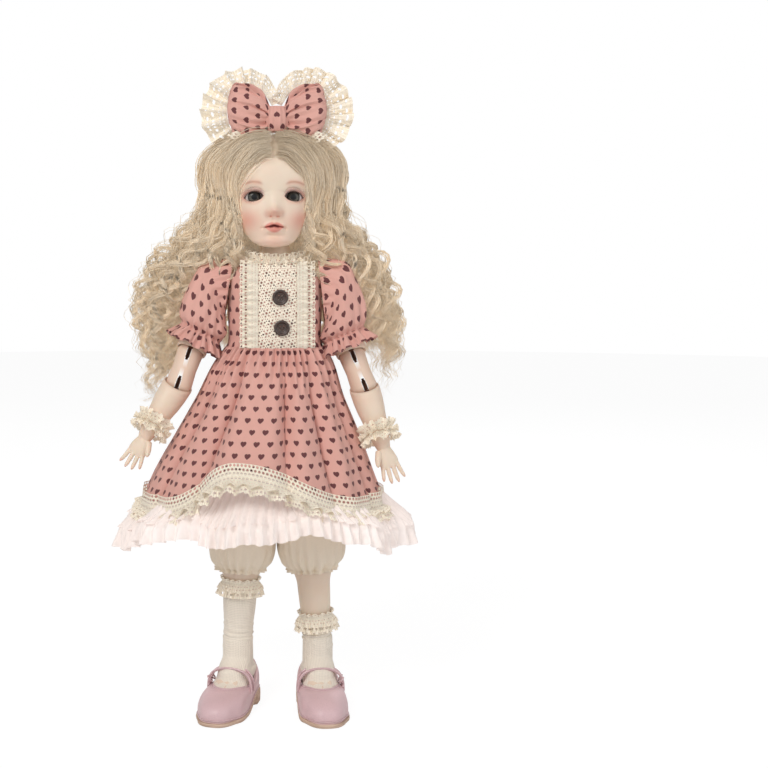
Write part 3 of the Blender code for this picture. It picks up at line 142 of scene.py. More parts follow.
class Sheet:
    """Grids of points gathered into one mesh, with a map of the flat material in metres and a tint."""

    def __init__(self):
        self.points, self.faces, self.maps, self.tints = [], [], [], []
        self.count = 0

    def grid(self, points, flat=None, closed=False, tint=None, caps=False):
        points = np.asarray(points, float)
        rows, columns = points.shape[:2]
        steps = columns if closed else columns - 1
        row, column = np.meshgrid(np.arange(rows - 1), np.arange(steps), indexing="ij")
        after = (column + 1) % columns
        corners = [row * columns + column, row * columns + after, (row + 1) * columns + after,
                (row + 1) * columns + column]
        self.faces.append(np.stack(corners, -1).reshape(-1, 4) + self.count)
        if flat is None:
            flat = laid_flat(points, closed)
        places = [flat[row, column], flat[row, column + 1], flat[row + 1, column + 1],
                flat[row + 1, column]]
        self.maps.append(np.stack(places, -2).reshape(-1, 2))
        self.points.append(points.reshape(-1, 3))
        tint = np.broadcast_to(np.ones(3) if tint is None else tint, points.shape)
        self.tints.append(tint.reshape(-1, 3))
        self.count += rows * columns
        if caps:
            for end in (0, rows - 1):
                centre = points[end].mean(0)
                lid = np.stack([points[end], points[end] * 0.5 + centre * 0.5,
                        np.tile(centre, (columns, 1))])
                self.grid(lid, closed=closed, tint=np.stack([tint[end]] * 3))
        return self

    def build(self, name, finish, slot, thick=0.0, weld=True):
        """The mesh as an object with its material, thickened where thick is given."""
        points, faces = np.concatenate(self.points), np.concatenate(self.faces)
        mesh = bpy.data.meshes.new(name)
        mesh.vertices.add(len(points))
        mesh.vertices.foreach_set("co", points.ravel())
        mesh.loops.add(faces.size)
        mesh.loops.foreach_set("vertex_index", faces.ravel())
        mesh.polygons.add(len(faces))
        mesh.polygons.foreach_set("loop_start", np.arange(0, faces.size, 4))
        mesh.update(calc_edges=True)
        cloth = mesh.uv_layers.new(name="cloth")
        cloth.data.foreach_set("uv", np.concatenate(self.maps).ravel())
        colour = mesh.color_attributes.new("tint", "FLOAT_COLOR", "POINT")
        tints = np.concatenate(self.tints)
        colour.data.foreach_set("color", np.concatenate([tints, np.ones((len(tints), 1))], 1).ravel())
        if weld:
            shape = bmesh.new()
            shape.from_mesh(mesh)
            bmesh.ops.remove_doubles(shape, verts=shape.verts, dist=2e-6)
            bmesh.ops.recalc_face_normals(shape, faces=shape.faces)
            shape.to_mesh(mesh)
            shape.free()
        mesh.validate()
        mesh.shade_smooth()
        made = bpy.data.objects.new(name, mesh)
        bpy.context.scene.collection.objects.link(made)
        mesh.materials.append(finish)
        if thick:
            wall = made.modifiers.new("thickness", "SOLIDIFY")
            wall.thickness, wall.offset = thick, -1.0
            settle(made)
        return made


def laid_flat(points, closed):
    """Distances across and along a grid, from its first corner."""
    if closed:
        points = np.concatenate([points, points[:, :1]], 1)
    across = np.linalg.norm(np.diff(points, axis=1), axis=2).mean(0)
    along = np.linalg.norm(np.diff(points, axis=0), axis=2).mean(1)
    u, v = np.concatenate([[0], np.cumsum(across)]), np.concatenate([[0], np.cumsum(along)])
    return np.stack(np.broadcast_arrays(u[None], v[:, None]), -1)


def settle(made):
    """Applies an object's modifiers to its mesh."""
    bpy.context.view_layer.update()
    evaluated = made.evaluated_get(bpy.context.evaluated_depsgraph_get())
    settled = bpy.data.meshes.new_from_object(evaluated, preserve_all_data_layers=True,
            depsgraph=bpy.context.evaluated_depsgraph_get())
    made.modifiers.clear()
    old, made.data = made.data, settled
    settled.name = made.name
    bpy.data.meshes.remove(old)


def wear(made, body, *nodes):
    """Puts a finished piece on a body of the doll, in place of the solids that it stands for."""
    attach(made, body)
    if nodes:
        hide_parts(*nodes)
    return made


def bend(made, first, second, start, end, *nodes):
    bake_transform(made)
    if nodes:
        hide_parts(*nodes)
    return made


def tube(path, radius, sides=5, flatten=1.0, up=(0, 0, 1)):
    """Rings round a path, which may be many paths at once: path is (..., steps, 3)."""
    path = np.asarray(path, float)
    ahead = unit(np.gradient(path, axis=-2))
    across = np.cross(ahead, np.broadcast_to(np.asarray(up, float), ahead.shape))
    across = unit(across + 1e-9)
    other = np.cross(across, ahead)
    angle = turn(sides)
    radius = np.broadcast_to(radius, path.shape[:-1])[..., None, None]
    cosines, sines = np.cos(angle)[:, None], np.sin(angle)[:, None]
    around = across[..., None, :] * cosines + other[..., None, :] * sines * flatten
    return path[..., None, :] + around * radius


class Wire:
    """A shader socket that can stand in a sum. Each sum adds its Math node."""

    def __init__(self, tree, socket):
        self.tree, self.socket = tree, socket

    def sum(self, operation, *values):
        node = self.tree.nodes.new("ShaderNodeMath")
        node.operation = operation
        for place, value in zip(node.inputs, values):
            if isinstance(value, Wire):
                self.tree.links.new(value.socket, place)
            else:
                place.default_value = value
        return Wire(self.tree, node.outputs[0])

    def __add__(self, other):
        return self.sum("ADD", self, other)

    __radd__ = __add__

    def __sub__(self, other):
        return self.sum("SUBTRACT", self, other)

    def __rsub__(self, other):
        return self.sum("SUBTRACT", other, self)

    def __mul__(self, other):
        return self.sum("MULTIPLY", self, other)

    __rmul__ = __mul__

    def __truediv__(self, other):
        return self.sum("DIVIDE", self, other)

    def __rtruediv__(self, other):
        return self.sum("DIVIDE", other, self)

    def __pow__(self, other):
        return self.sum("POWER", self, other)

    def __abs__(self):
        return self.sum("ABSOLUTE", self)

    def sine(self):
        return self.sum("SINE", self)

    def fract(self):
        return self.sum("FRACT", self)

    def floor(self):
        return self.sum("FLOOR", self)

    def root(self):
        return self.sum("SQRT", self)

    def least(self, other):
        return self.sum("MINIMUM", self, other)

    def most(self, other):
        return self.sum("MAXIMUM", self, other)

    def between(self, low, high):
        """0 below low, 1 above high and smooth between. With high below low it falls."""
        share = self.sum("DIVIDE", self - low, high - low).least(1.0).most(0.0)
        return share * share * (3.0 - 2.0 * share)


class Finish:
    """One material: its shader, the numbers set on it, and the nodes that lead to it."""

    def __init__(self, name, **fixed):
        self.material = bpy.data.materials.new(name)
        self.material.use_nodes = True
        self.tree = self.material.node_tree
        self.shader = self.tree.nodes["Principled BSDF"]
        for socket, value in fixed.items():
            self.shader.inputs[socket.replace("_", " ")].default_value = value

    def node(self, kind, settings=None, sockets=None, out=0):
        made = self.tree.nodes.new(kind)
        for name, value in (settings or {}).items():
            if name == "stops":
                ramp = made.color_ramp
                while len(ramp.elements) < len(value):
                    ramp.elements.new(1.0)
                for element, (place, colour) in zip(ramp.elements, value):
                    element.position, element.color = place, (*colour, 1.0)
            else:
                setattr(made, name, value)
        for name, value in (sockets or {}).items():
            self.join(value, made.inputs[name])
        return Wire(self.tree, made.outputs[out])

    def join(self, value, socket):
        if isinstance(value, Wire):
            self.tree.links.new(value.socket, socket)
        elif hasattr(value, "__len__") and len(value) == 3 and socket.type == "RGBA":
            socket.default_value = (*value, 1.0)
        else:
            socket.default_value = value

    def feed(self, socket, value):
        self.join(value, self.shader.inputs[socket])

    def mix(self, share, first, second, blend="MIX"):
        return self.node("ShaderNodeMix", {"data_type": "RGBA", "blend_type": blend},
                {0: share, 6: first, 7: second}, out=2)

    def flat(self):
        """The place on the flat material, across and along, in metres."""
        place = self.node("ShaderNodeUVMap", {"uv_map": "cloth"})
        parts = self.node("ShaderNodeSeparateXYZ", sockets={0: place})
        return parts, Wire(self.tree, parts.socket.node.outputs[1])

    def spot(self, across, along, scale=1.0):
        """A point for a noise, from two wires."""
        return self.node("ShaderNodeCombineXYZ", sockets={0: across * scale, 1: along * scale})

    def noise(self, scale, detail=2.0, place=None):
        if place is None:
            place = self.node("ShaderNodeTexCoord", out=3)
        return self.node("ShaderNodeTexNoise", sockets={"Vector": place, "Scale": scale, "Detail": detail})

    def tint(self):
        return self.node("ShaderNodeAttribute", {"attribute_name": "tint"})

    def relief(self, height, strength, distance):
        """Feeds a bump of that height in metres times strength."""
        bump = self.node("ShaderNodeBump", sockets={"Strength": strength, "Distance": distance,
                "Height": height})
        self.feed("Normal", bump)


def weave(across, along, thread):
    """A plain weave: two crossed waves, high where a thread comes up."""
    turns = 2 * pi / thread
    return (across * turns).sine() * (along * turns).sine()




class DollLooks(bpy.types.PropertyGroup):
    """The sizes and colours that change from one doll to the next."""

    curl_wide: FloatProperty(name="Curl width", description="How far a curl swings from its lock's line",
            default=0.0031, unit="LENGTH")
    curl_long: FloatProperty(name="Curl length", description="Length of one turn of a curl", default=0.0215,
            unit="LENGTH")
    locks: IntProperty(name="Locks", description="Locks of hair on each side of the parting", default=46,
            min=4)
    strands: IntProperty(name="Strands", description="Strands in each lock", default=15, min=2)
    heart_wide: FloatProperty(name="Heart width", description="Width of one printed heart", default=0.0033,
            unit="LENGTH")
    heart_step: FloatProperty(name="Heart spacing", description="Distance from one heart to the next",
            default=0.0066, unit="LENGTH")
    lash_long: FloatProperty(name="Lash length", description="Length of the upper lashes", default=0.0021,
            unit="LENGTH")
    resin: FloatVectorProperty(name="Resin", description="Colour of the cast body",
            default=(0.915, 0.842, 0.762), subtype="COLOR_GAMMA")
    blush: FloatVectorProperty(name="Blush", description="Colour rubbed on cheeks and joints",
            default=(0.86, 0.52, 0.44), subtype="COLOR_GAMMA")
    lips: FloatVectorProperty(name="Lips", description="Colour of the painted lips",
            default=(0.83, 0.36, 0.33), subtype="COLOR_GAMMA")
    brows: FloatVectorProperty(name="Brows", description="Colour of the painted brows",
            default=(0.62, 0.44, 0.34), subtype="COLOR_GAMMA")
    iris: FloatVectorProperty(name="Iris", description="Colour of the glass iris",
            default=(0.40, 0.385, 0.35), subtype="COLOR_GAMMA")
    hair: FloatVectorProperty(name="Hair", description="Main colour of the wig",
            default=(0.950, 0.905, 0.830), subtype="COLOR_GAMMA")
    dress: FloatVectorProperty(name="Dress", description="Ground colour of the printed cloth",
            default=(0.915, 0.695, 0.645), subtype="COLOR_GAMMA")
    print: FloatVectorProperty(name="Print", description="Colour of the printed hearts",
            default=(0.36, 0.12, 0.15), subtype="COLOR_GAMMA")
    lace: FloatVectorProperty(name="Lace", description="Colour of the cotton lace",
            default=(0.985, 0.94, 0.865), subtype="COLOR_GAMMA")
    voile: FloatVectorProperty(name="Petticoat", description="Colour of the pleated petticoat",
            default=(0.985, 0.94, 0.92), subtype="COLOR_GAMMA")
    satin: FloatVectorProperty(name="Bloomers", description="Colour of the satin bloomers",
            default=(0.95, 0.895, 0.815), subtype="COLOR_GAMMA")
    knit: FloatVectorProperty(name="Socks", description="Colour of the knitted socks",
            default=(0.985, 0.945, 0.885), subtype="COLOR_GAMMA")
    shoes: FloatVectorProperty(name="Shoes", description="Colour of the shoe leather",
            default=(0.86, 0.73, 0.745), subtype="COLOR_GAMMA")


def looks():
    return bpy.context.scene.doll_looks


def tone(name, shade=1.0):
    return linear(getattr(looks(), name)) * shade


def paint_resin(made):
    """Cast resin: the painted tint, a soft mottle and a fine sanded surface."""
    mottle = made.noise(90.0, 3.0)
    warm = made.mix(mottle.between(0.35, 0.7) * 0.10, made.tint(), linear((0.93, 0.74, 0.64)))
    made.feed("Base Color", warm)
    made.feed("Roughness", 0.44 + made.noise(900.0, 2.0) * 0.12)
    made.relief(made.noise(2600.0, 2.0), 0.10, 0.0002)


def paint_bare_resin(made):
    """Cast resin on a solid that carries no painted tint."""
    made.feed("Base Color", made.mix(made.noise(90.0, 3.0).between(0.35, 0.7) * 0.12, tone("resin"),
            linear((0.93, 0.74, 0.64))))
    made.feed("Roughness", 0.44 + made.noise(900.0, 2.0) * 0.12)
    made.relief(made.noise(2600.0, 2.0), 0.10, 0.0002)


def paint_hollow(made):
    """The walls of a slot in the resin, where little light reaches."""
    made.feed("Base Color", made.mix(made.noise(400.0, 2.0), linear((0.36, 0.21, 0.15)),
            linear((0.50, 0.33, 0.25))))


def paint_thread(made):
    made.feed("Base Color", made.mix(made.noise(2500.0, 2.0).between(0.3, 0.7), linear((0.16, 0.10, 0.08)),
            linear((0.30, 0.20, 0.16))))


def paint_glass_eye(made):
    made.feed("Base Color", made.tint())


def paint_lash(made):
    made.feed("Roughness", 0.5 + made.noise(3000.0) * 0.2)


def paint_hair(made):
    """Fine fibre: streaks that run along each strand, over the tint from root to tip, with a faint glow in
    that colour as painted light.
    """
    across, along = made.flat()
    streak = made.noise(1.0, 3.0, made.spot(across * 2600.0, along, 60.0))
    dark = made.mix(streak.between(0.30, 0.72), made.mix(0.25, made.tint(), (0.32, 0.24, 0.17)),
            made.tint())
    made.feed("Base Color", dark)
    made.feed("Roughness", 0.38 + streak * 0.25)
    made.relief(streak, 0.35, 0.0003)
    # Painted light: a faint glow in the hair's own colour stands in for light scattered among the strands.
    made.feed("Emission Color", dark)
    made.feed("Emission Strength", 0.17)
    through = made.node("ShaderNodeBsdfTranslucent", sockets={"Color": tuple(tone("hair")) + (1.0,)})
    plain = Wire(made.tree, made.shader.outputs[0])
    both = made.node("ShaderNodeMixShader", sockets={0: 0.42, 1: plain, 2: through})
    made.tree.links.new(both.socket, made.tree.nodes["Material Output"].inputs["Surface"])


def heart_mask(across, along, wide, gap):
    """1 inside hearts set in staggered rows, and 0 outside."""
    row = (along / (gap * 0.92)).floor()
    shifted = across / gap + (row * 0.5)
    x = abs(shifted.fract() - 0.5) * gap
    y = (0.45 - (along / (gap * 0.92)).fract()) * (gap * 0.92)
    half = wide / 2
    lifted = y / half * 1.12 - (x / half).root() * 0.62 + 0.22
    inside = (x / half) * (x / half) * 0.92 + lifted * lifted
    return inside.between(0.86, 0.70)


def paint_print_cloth(made):
    """Cotton with printed hearts, a plain weave, soft shading and crumple."""
    across, along = made.flat()
    frayed = made.noise(1500.0, 2.0) * 0.0002 - 0.0001
    hearts = heart_mask(across + frayed, along + frayed, looks().heart_wide, looks().heart_step)
    threads = weave(across, along, 0.00052)
    ground = made.mix(threads.between(-1.0, 1.0) * 0.35, tone("dress"), tone("dress", 0.80))
    ground = made.mix(made.noise(60.0, 4.0).between(0.3, 0.75) * 0.22, ground, tone("dress", 0.84))
    ink = made.mix(threads.between(-0.6, 1.0) * 0.4, tone("print", 0.8), tone("print", 1.3))
    made.feed("Base Color", made.mix(hearts * 0.95, ground, ink))
    made.feed("Roughness", 0.86 - hearts * 0.1)
    made.relief(threads * 0.35 + made.noise(260.0, 4.0) * 1.6, 0.5, 0.00035)


def lace_colour(made, thread, shade=0.86):
    fuzz = made.noise(900.0, 3.0).between(0.3, 0.7)
    colour = made.mix(thread, tone("lace", shade), tone("lace", 1.06))
    whole = made.mix(fuzz * 0.3, colour, tone("lace", 0.90))
    made.feed("Base Color", whole)
    # Painted light: the lace glows faintly in its own colour, standing in for light among its dense folds.
    made.feed("Emission Color", whole)
    made.feed("Emission Strength", 0.10)
    made.feed("Roughness", 0.82 + fuzz * 0.12)


def net(across, along, gap, radius):
    """Distance outside round holes in staggered rows, in metres: below 0 in a hole."""
    row = (along / gap).floor()
    x = ((across / gap + row * 0.5).fract() - 0.5) * gap
    y = ((along / gap).fract() - 0.5) * gap
    return (x * x + y * y).root() - radius


def paint_lace_net(made):
    """Crocheted ground: small round holes in staggered rows between firm edges."""
    across, along = made.flat()
    hole = net(across, along, 0.0020, 0.00058)
    band = (along * (2 * pi / 0.0080)).sine().between(-0.75, -0.45)
    open_to = hole.between(-0.00006, 0.00010).most(1.0 - band)
    cord = (across * (2 * pi / 0.00075)).sine() * (along * (2 * pi / 0.00075)).sine()
    made.feed("Alpha", open_to)
    lace_colour(made, hole.between(0.0, 0.0005))
    made.relief(hole.between(0.0, 0.0005) + cord * 0.35, 0.8, 0.0004)


def paint_lace_eyelet(made):
    """Flower lace: rings of petals round larger eyelets, joined by bars."""
    across, along = made.flat()
    gap = 0.0052
    row = (along / gap).floor()
    x = ((across / gap + row * 0.5).fract() - 0.5) * gap
    y = ((along / gap).fract() - 0.5) * gap
    radius = (x * x + y * y).root()
    angle = made.node("ShaderNodeMath", {"operation": "ARCTAN2"}, {0: y, 1: x})
    petals = (angle * 6.0).sine()
    eye = radius.between(0.00050, 0.00064)
    gaps = 1.0 - (radius.between(0.00125, 0.00140) * radius.between(0.00222, 0.00202) * petals.between(0.10,
            0.40))
    ground = net(across, along, 0.00105, 0.00027).between(-0.00005,
            0.00008).most(radius.between(0.0026, 0.0024))
    thread = (eye * gaps).least(ground)
    made.feed("Alpha", thread)
    ridge = radius.between(0.0004, 0.0008) * radius.between(0.0018, 0.0011) * (0.6 + petals * 0.4)
    lace_colour(made, ridge.most(0.35))
    made.relief(ridge + made.noise(1800.0, 2.0) * 0.3, 0.9, 0.0005)


def paint_lace_frill(made):
    """Gathered cotton edging: close ribs, a row of small eyelets and a looped border."""
    across, along = made.flat()
    ribs = (across * (2 * pi / 0.00085)).sine()
    holes = net(across, along, 0.0022, 0.00055).between(-0.00006, 0.00010)
    bars = (along * (2 * pi / 0.0030)).sine().between(0.1, 0.5)
    made.feed("Alpha", holes.most(bars))
    lace_colour(made, ribs.between(-1.0, 0.4).most(0.45))
    made.relief(ribs * 0.5 + bars * 0.5 + made.noise(1500.0, 2.0) * 0.3, 0.8, 0.0004)


def paint_voile(made):
    """Sheer crinkled voile: it lets a little light and colour through between its threads, and glows faintly
    in its own colour as painted light.
    """
    across, along = made.flat()
    threads = weave(across, along, 0.0007)
    crinkle = made.noise(420.0, 3.0)
    colour = made.mix(crinkle.between(0.3, 0.75) * 0.5, tone("voile", 1.02), tone("voile", 0.92))
    made.feed("Base Color", colour)
    # Painted light: a faint glow in the voile's own colour brightens it where it lies in shade.
    made.feed("Emission Color", colour)
    made.feed("Emission Strength", 0.12)
    made.feed("Alpha", 0.86 + threads * 0.08 + crinkle * 0.06)
    made.relief(threads * 0.3 + crinkle, 0.4, 0.0003)


def paint_satin(made):
    across, along = made.flat()
    slub = made.noise(1.0, 3.0, made.spot(across * 900.0, along * 5200.0))
    made.feed("Base Color", made.mix(slub.between(0.3, 0.7) * 0.35, tone("satin"), tone("satin", 0.86)))
    made.feed("Roughness", 0.40 + slub * 0.2)
    made.relief(slub + made.noise(300.0, 3.0) * 1.5, 0.4, 0.0003)


def paint_knit(made):
    """Fine stocking knit: columns of small stitches."""
    across, along = made.flat()
    column = (across * (2 * pi / 0.0008)).sine()
    stitch = (along * (2 * pi / 0.0009) + abs(column) * 1.6).sine()
    height = column * 0.5 + stitch * 0.5
    made.feed("Base Color", made.mix(height.between(-0.9, 0.3), tone("knit", 0.82), tone("knit")))
    made.feed("Roughness", 0.85 + height * 0.08)
    made.relief(height, 0.5, 0.0003)


def paint_leather(made):
    """Soft shoe leather: fine grain, creases, and paler rubbed places."""
    grain = made.node("ShaderNodeTexVoronoi", {"feature": "DISTANCE_TO_EDGE"},
            {"Vector": made.node("ShaderNodeTexCoord", out=3), "Scale": 1500.0})
    rub = made.noise(70.0, 4.0).between(0.45, 0.8)
    colour = made.mix(rub * 0.4, tone("shoes"), tone("shoes", 1.28))
    colour = made.mix(grain.between(0.10, 0.0) * 0.35, colour, tone("shoes", 0.7))
    made.feed("Base Color", colour)
    made.feed("Roughness", 0.36 + rub * 0.16 + made.noise(500.0) * 0.08)
    made.feed("Coat Weight", 0.25 - rub * 0.2)
    made.relief(grain.between(0.0, 0.12) + made.noise(180.0, 3.0) * 2.0, 0.35, 0.0002)


def paint_strap(made):
    made.feed("Base Color", made.mix(made.noise(300.0).between(0.3, 0.7) * 0.4, tone("shoes", 0.86),
            tone("shoes", 1.1)))
    made.feed("Roughness", 0.18 + made.noise(400.0) * 0.1)


def paint_sole(made):
    layers = made.noise(1.0, 2.0, made.node("ShaderNodeMapping", {"vector_type": "POINT"},
            {"Vector": made.node("ShaderNodeTexCoord", out=3), "Scale": (120.0, 120.0, 2600.0)}))
    made.feed("Base Color", made.mix(layers.between(0.35, 0.65), linear((0.72, 0.60, 0.52)),
            linear((0.84, 0.73, 0.65))))
    made.feed("Roughness", 0.55 + layers * 0.2)
    made.relief(layers, 0.4, 0.0002)


def paint_button(made):
    """Turned dark wood with fine rings."""
    grain = made.noise(1.0, 4.0, made.node("ShaderNodeMapping",
            sockets={"Vector": made.node("ShaderNodeTexCoord", out=3), "Scale": (900.0, 300.0, 2600.0)}))
    made.feed("Base Color", made.mix(grain.between(0.35, 0.65), linear((0.13, 0.075, 0.055)),
            linear((0.27, 0.17, 0.125))))
    made.feed("Roughness", 0.32 + grain * 0.2)
    made.relief(grain, 0.3, 0.0002)


def paint_steel(made):
    made.feed("Base Color", made.mix(made.noise(800.0).between(0.3, 0.7), (0.42, 0.42, 0.43),
            (0.58, 0.58, 0.59)))


def paint_cord(made):
    wind = (made.noise(1200.0, 2.0) * 3.0).sine()
    made.feed("Base Color", made.mix(wind.between(-1.0, 1.0), (0.60, 0.60, 0.58), (0.82, 0.82, 0.80)))


def paint_floor(made):
    """A white floor that looks white to the camera and keeps a soft shadow."""
    made.feed("Base Color", made.mix(made.noise(3.0), (0.90, 0.90, 0.90), (0.93, 0.93, 0.93)))
    made.feed("Roughness", 0.9)
    rays = made.node("ShaderNodeLightPath")
    glow = made.node("ShaderNodeEmission", sockets={"Color": (1.0, 1.0, 1.0), "Strength": 1.08})
    plain = Wire(made.tree, made.shader.outputs[0])
    both = made.node("ShaderNodeMixShader", sockets={0: rays * 0.84, 1: plain, 2: glow})
    made.tree.links.new(both.socket, made.tree.nodes["Material Output"].inputs["Surface"])


FINISH_KINDS = {
    "resin": (paint_resin, {"Subsurface_Weight": 0.12, "Subsurface_Radius": (0.0030, 0.0012, 0.0007),
    "Subsurface_Scale": 1.0}),
    "bare_resin": (paint_bare_resin, {}),
    "hollow": (paint_hollow, {"Roughness": 0.7}),
    "thread": (paint_thread, {"Roughness": 0.8}),
    "glass_eye": (paint_glass_eye, {"Roughness": 0.4, "Specular_IOR_Level": 0.15, "Coat_Weight": 0.30,
    "Coat_Roughness": 0.03}),
    "hair": (paint_hair, {"Sheen_Weight": 0.25, "Sheen_Roughness": 0.4}),
    "print_cloth": (paint_print_cloth, {"Sheen_Weight": 0.12, "Sheen_Roughness": 0.5}),
    "lace_net": (paint_lace_net, {"Sheen_Weight": 0.15}),
    "lace_eyelet": (paint_lace_eyelet, {"Sheen_Weight": 0.15}),
    "lace_frill": (paint_lace_frill, {"Sheen_Weight": 0.15}),
    "voile": (paint_voile, {"Sheen_Weight": 0.2, "Roughness": 0.7}),
    "satin": (paint_satin, {"Sheen_Weight": 0.1}),
    "knit": (paint_knit, {"Sheen_Weight": 0.2}),
    "leather": (paint_leather, {"Coat_Roughness": 0.3}),
    "strap": (paint_strap, {"Coat_Weight": 0.4}),
    "sole": (paint_sole, {}),
    "button": (paint_button, {"Coat_Weight": 0.3}),
    "steel": (paint_steel, {"Metallic": 1.0, "Roughness": 0.28}),
    "cord": (paint_cord, {"Roughness": 0.85}),
    "lash": (paint_lash, {"Base_Color": (0.035, 0.02, 0.016, 1.0)}),
    "floor": (paint_floor, {}),
}
FINISHES = {}


def finish(name):
    """The material of that name, made on first use."""
    if name not in FINISHES:
        paint, numbers = FINISH_KINDS[name]
        made = Finish(name, **numbers)
        paint(made)
        FINISHES[name] = made.material
    return FINISHES[name]




def head_to_world(points):
    """Points of the head, x across, y back and z up from the neck joint, at the head's own turn."""
    points = np.asarray(points, float)
    x = points[..., 0] * cos(HEAD_TURN) - points[..., 1] * sin(HEAD_TURN)
    y = points[..., 0] * sin(HEAD_TURN) + points[..., 1] * cos(HEAD_TURN)
    return np.stack([x, y, points[..., 2]], -1) + NECK + HEAD_SHIFT


HEAD_SHIFT = np.array([-1.6, 0.0, 0.0]) * MM
HEAD_HEIGHTS = np.array([-4.0, -3.4, -2.0, 1.0, 6.0, 11.5, 16.0, 21.0, 27.0, 33.0, 38.0, 43.0, 48.0, 51.0,
        52.4]) * MM
HEAD_WIDE = np.array([2.0, 5.6, 9.2, 12.6, 17.0, 19.7, 21.0, 22.2, 23.2, 23.5, 22.8, 20.6, 15.5, 9.8,
        3.0]) * MM
HEAD_FRONT = np.array([18.6, 20.3, 21.4, 21.9, 22.3, 22.9, 23.3, 23.6, 24.4, 25.0, 24.2, 21.6, 16.0, 9.8,
        3.0]) * MM
HEAD_BACK = np.array([-14.5, -11.0, -6.0, 1.0, 10.5, 18.0, 21.5, 23.8, 25.0, 25.2, 24.2, 21.6, 16.0, 9.8,
        3.0]) * MM
EYE_X, EYE_Z = 10.2 * MM, 21.3 * MM
EYE_HALF = 4.6 * MM


def skull(angle, z, grow=0.0):
    """The head's plain surface: angle 0 is the middle of the face, and pi / 2 its left side."""
    wide, front, back = (spline(z, HEAD_HEIGHTS, values) for values in (HEAD_WIDE, HEAD_FRONT, HEAD_BACK))
    centre, deep = (back - front) / 2, (front + back) / 2
    sides, ahead = np.sin(angle), np.cos(angle)
    squared = 0.90
    x = (wide + grow) * np.sign(sides) * np.abs(sides) ** squared
    y = centre - (deep + grow) * np.sign(ahead) * np.abs(ahead) ** squared
    return x, y


def eye_edges(x, sign):
    """Heights of the upper and the lower lid's edge, and 1 in the eye's width."""
    across = (x - sign * EYE_X) / EYE_HALF
    out = across * sign
    arch = np.clip(1 - np.abs(across) ** 2.3, 0, 1)
    upper = EYE_Z + (0.15 - 0.35 * out + 2.5 * arch ** 0.75) * MM
    lower = EYE_Z + (0.0 - 0.35 * out - 1.95 * arch ** 0.8) * MM
    return upper, lower, arch > 0


def face_relief(x, z):
    """How far the face stands out beyond the plain head at each point."""
    X, Z = x / MM, z / MM
    out = np.zeros_like(X)
    bridge = step(Z, 11.5, 15.0) * (1 - step(Z, 14.0, 25.0))
    out += 2.3 * bridge * hill(X, 0, 3.3) + 0.55 * hill(X, 0, 3.6) * hill(Z, 21.0, 5.0)
    out += 2.9 * hill(X, 0, 3.1) * hill(Z, 13.8, 2.3)
    for sign in (-1, 1):
        out += 1.05 * hill(X, sign * 3.2, 1.5) * hill(Z, 12.9, 1.6)
        out -= 1.0 * hill(X, sign * 1.75, 0.8) * hill(Z, 11.55, 0.55)
        out -= 1.25 * hill(X, sign * 9.4, 6.2) * hill(Z, 22.0, 4.2)
        out += 0.75 * hill(X, sign * 12.0, 5.0) * hill(Z, 11.0, 4.8)
        out += 0.5 * hill(X, sign * 11.0, 6.0) * hill(Z, 28.5, 2.6)
        upper, lower, _ = eye_edges(x, sign)
        span = hill(X, sign * 10.3, 5.2)
        out += 0.45 * span * hill(Z, upper / MM + 0.7, 0.75) - 0.42 * span * hill(Z, upper / MM + 2.0, 0.5)
        out += 0.30 * span * hill(Z, lower / MM - 0.9, 0.8)
        out -= 0.7 * hill(X, sign * 5.9, 0.9) * hill(Z, 5.6, 0.9)
    bow = 8.3 - 0.45 * hill(X, 0, 0.9) - 0.055 * X**2
    line = 6.5 + 0.35 * hill(X, 0, 1.3) - 0.026 * X**2
    mouth = step(6.4 - np.abs(X), 0, 2.2)
    out += 1.15 * mouth * hill(Z, (bow + line) / 2 - 0.1, 1.25)
    out += 1.45 * mouth * hill(X, 0, 4.0) * hill(Z, line - 2.0, 1.45)
    out -= 1.25 * mouth * hill(Z, line, 0.42) + 0.9 * hill(X, 0, 2.2) * hill(Z, line, 0.75)
    out += 0.7 * hill(X, 0, 6.0) * hill(Z, 6.5, 4.0)
    out -= 0.35 * hill(X, 0, 0.9) * hill(Z, 9.9, 1.0)
    out -= 0.8 * hill(X, 0, 4.2) * hill(Z, 1.7, 1.1)
    out += 0.9 * hill(X, 0, 4.4) * hill(Z, -1.2, 2.4)
    return out * MM


def eye_mask(x, z, soft):
    """1 in the open eyes and 0 outside, with a soft edge."""
    mask = np.zeros_like(x)
    for sign in (-1, 1):
        upper, lower, wide = eye_edges(x, sign)
        near = np.minimum(np.minimum(upper - z, z - lower), EYE_HALF - np.abs(x - sign * EYE_X))
        mask = np.maximum(mask, np.where(wide, step(near, -soft, soft), 0))
    return mask


def face_surface(angle, z):
    x, y = skull(angle, z)
    front = step(np.cos(angle), 0.05, 0.45)
    return x, y - front * face_relief(x, z)


def over(base, colour, share):
    return base * (1 - share[..., None]) + np.asarray(colour) * share[..., None]


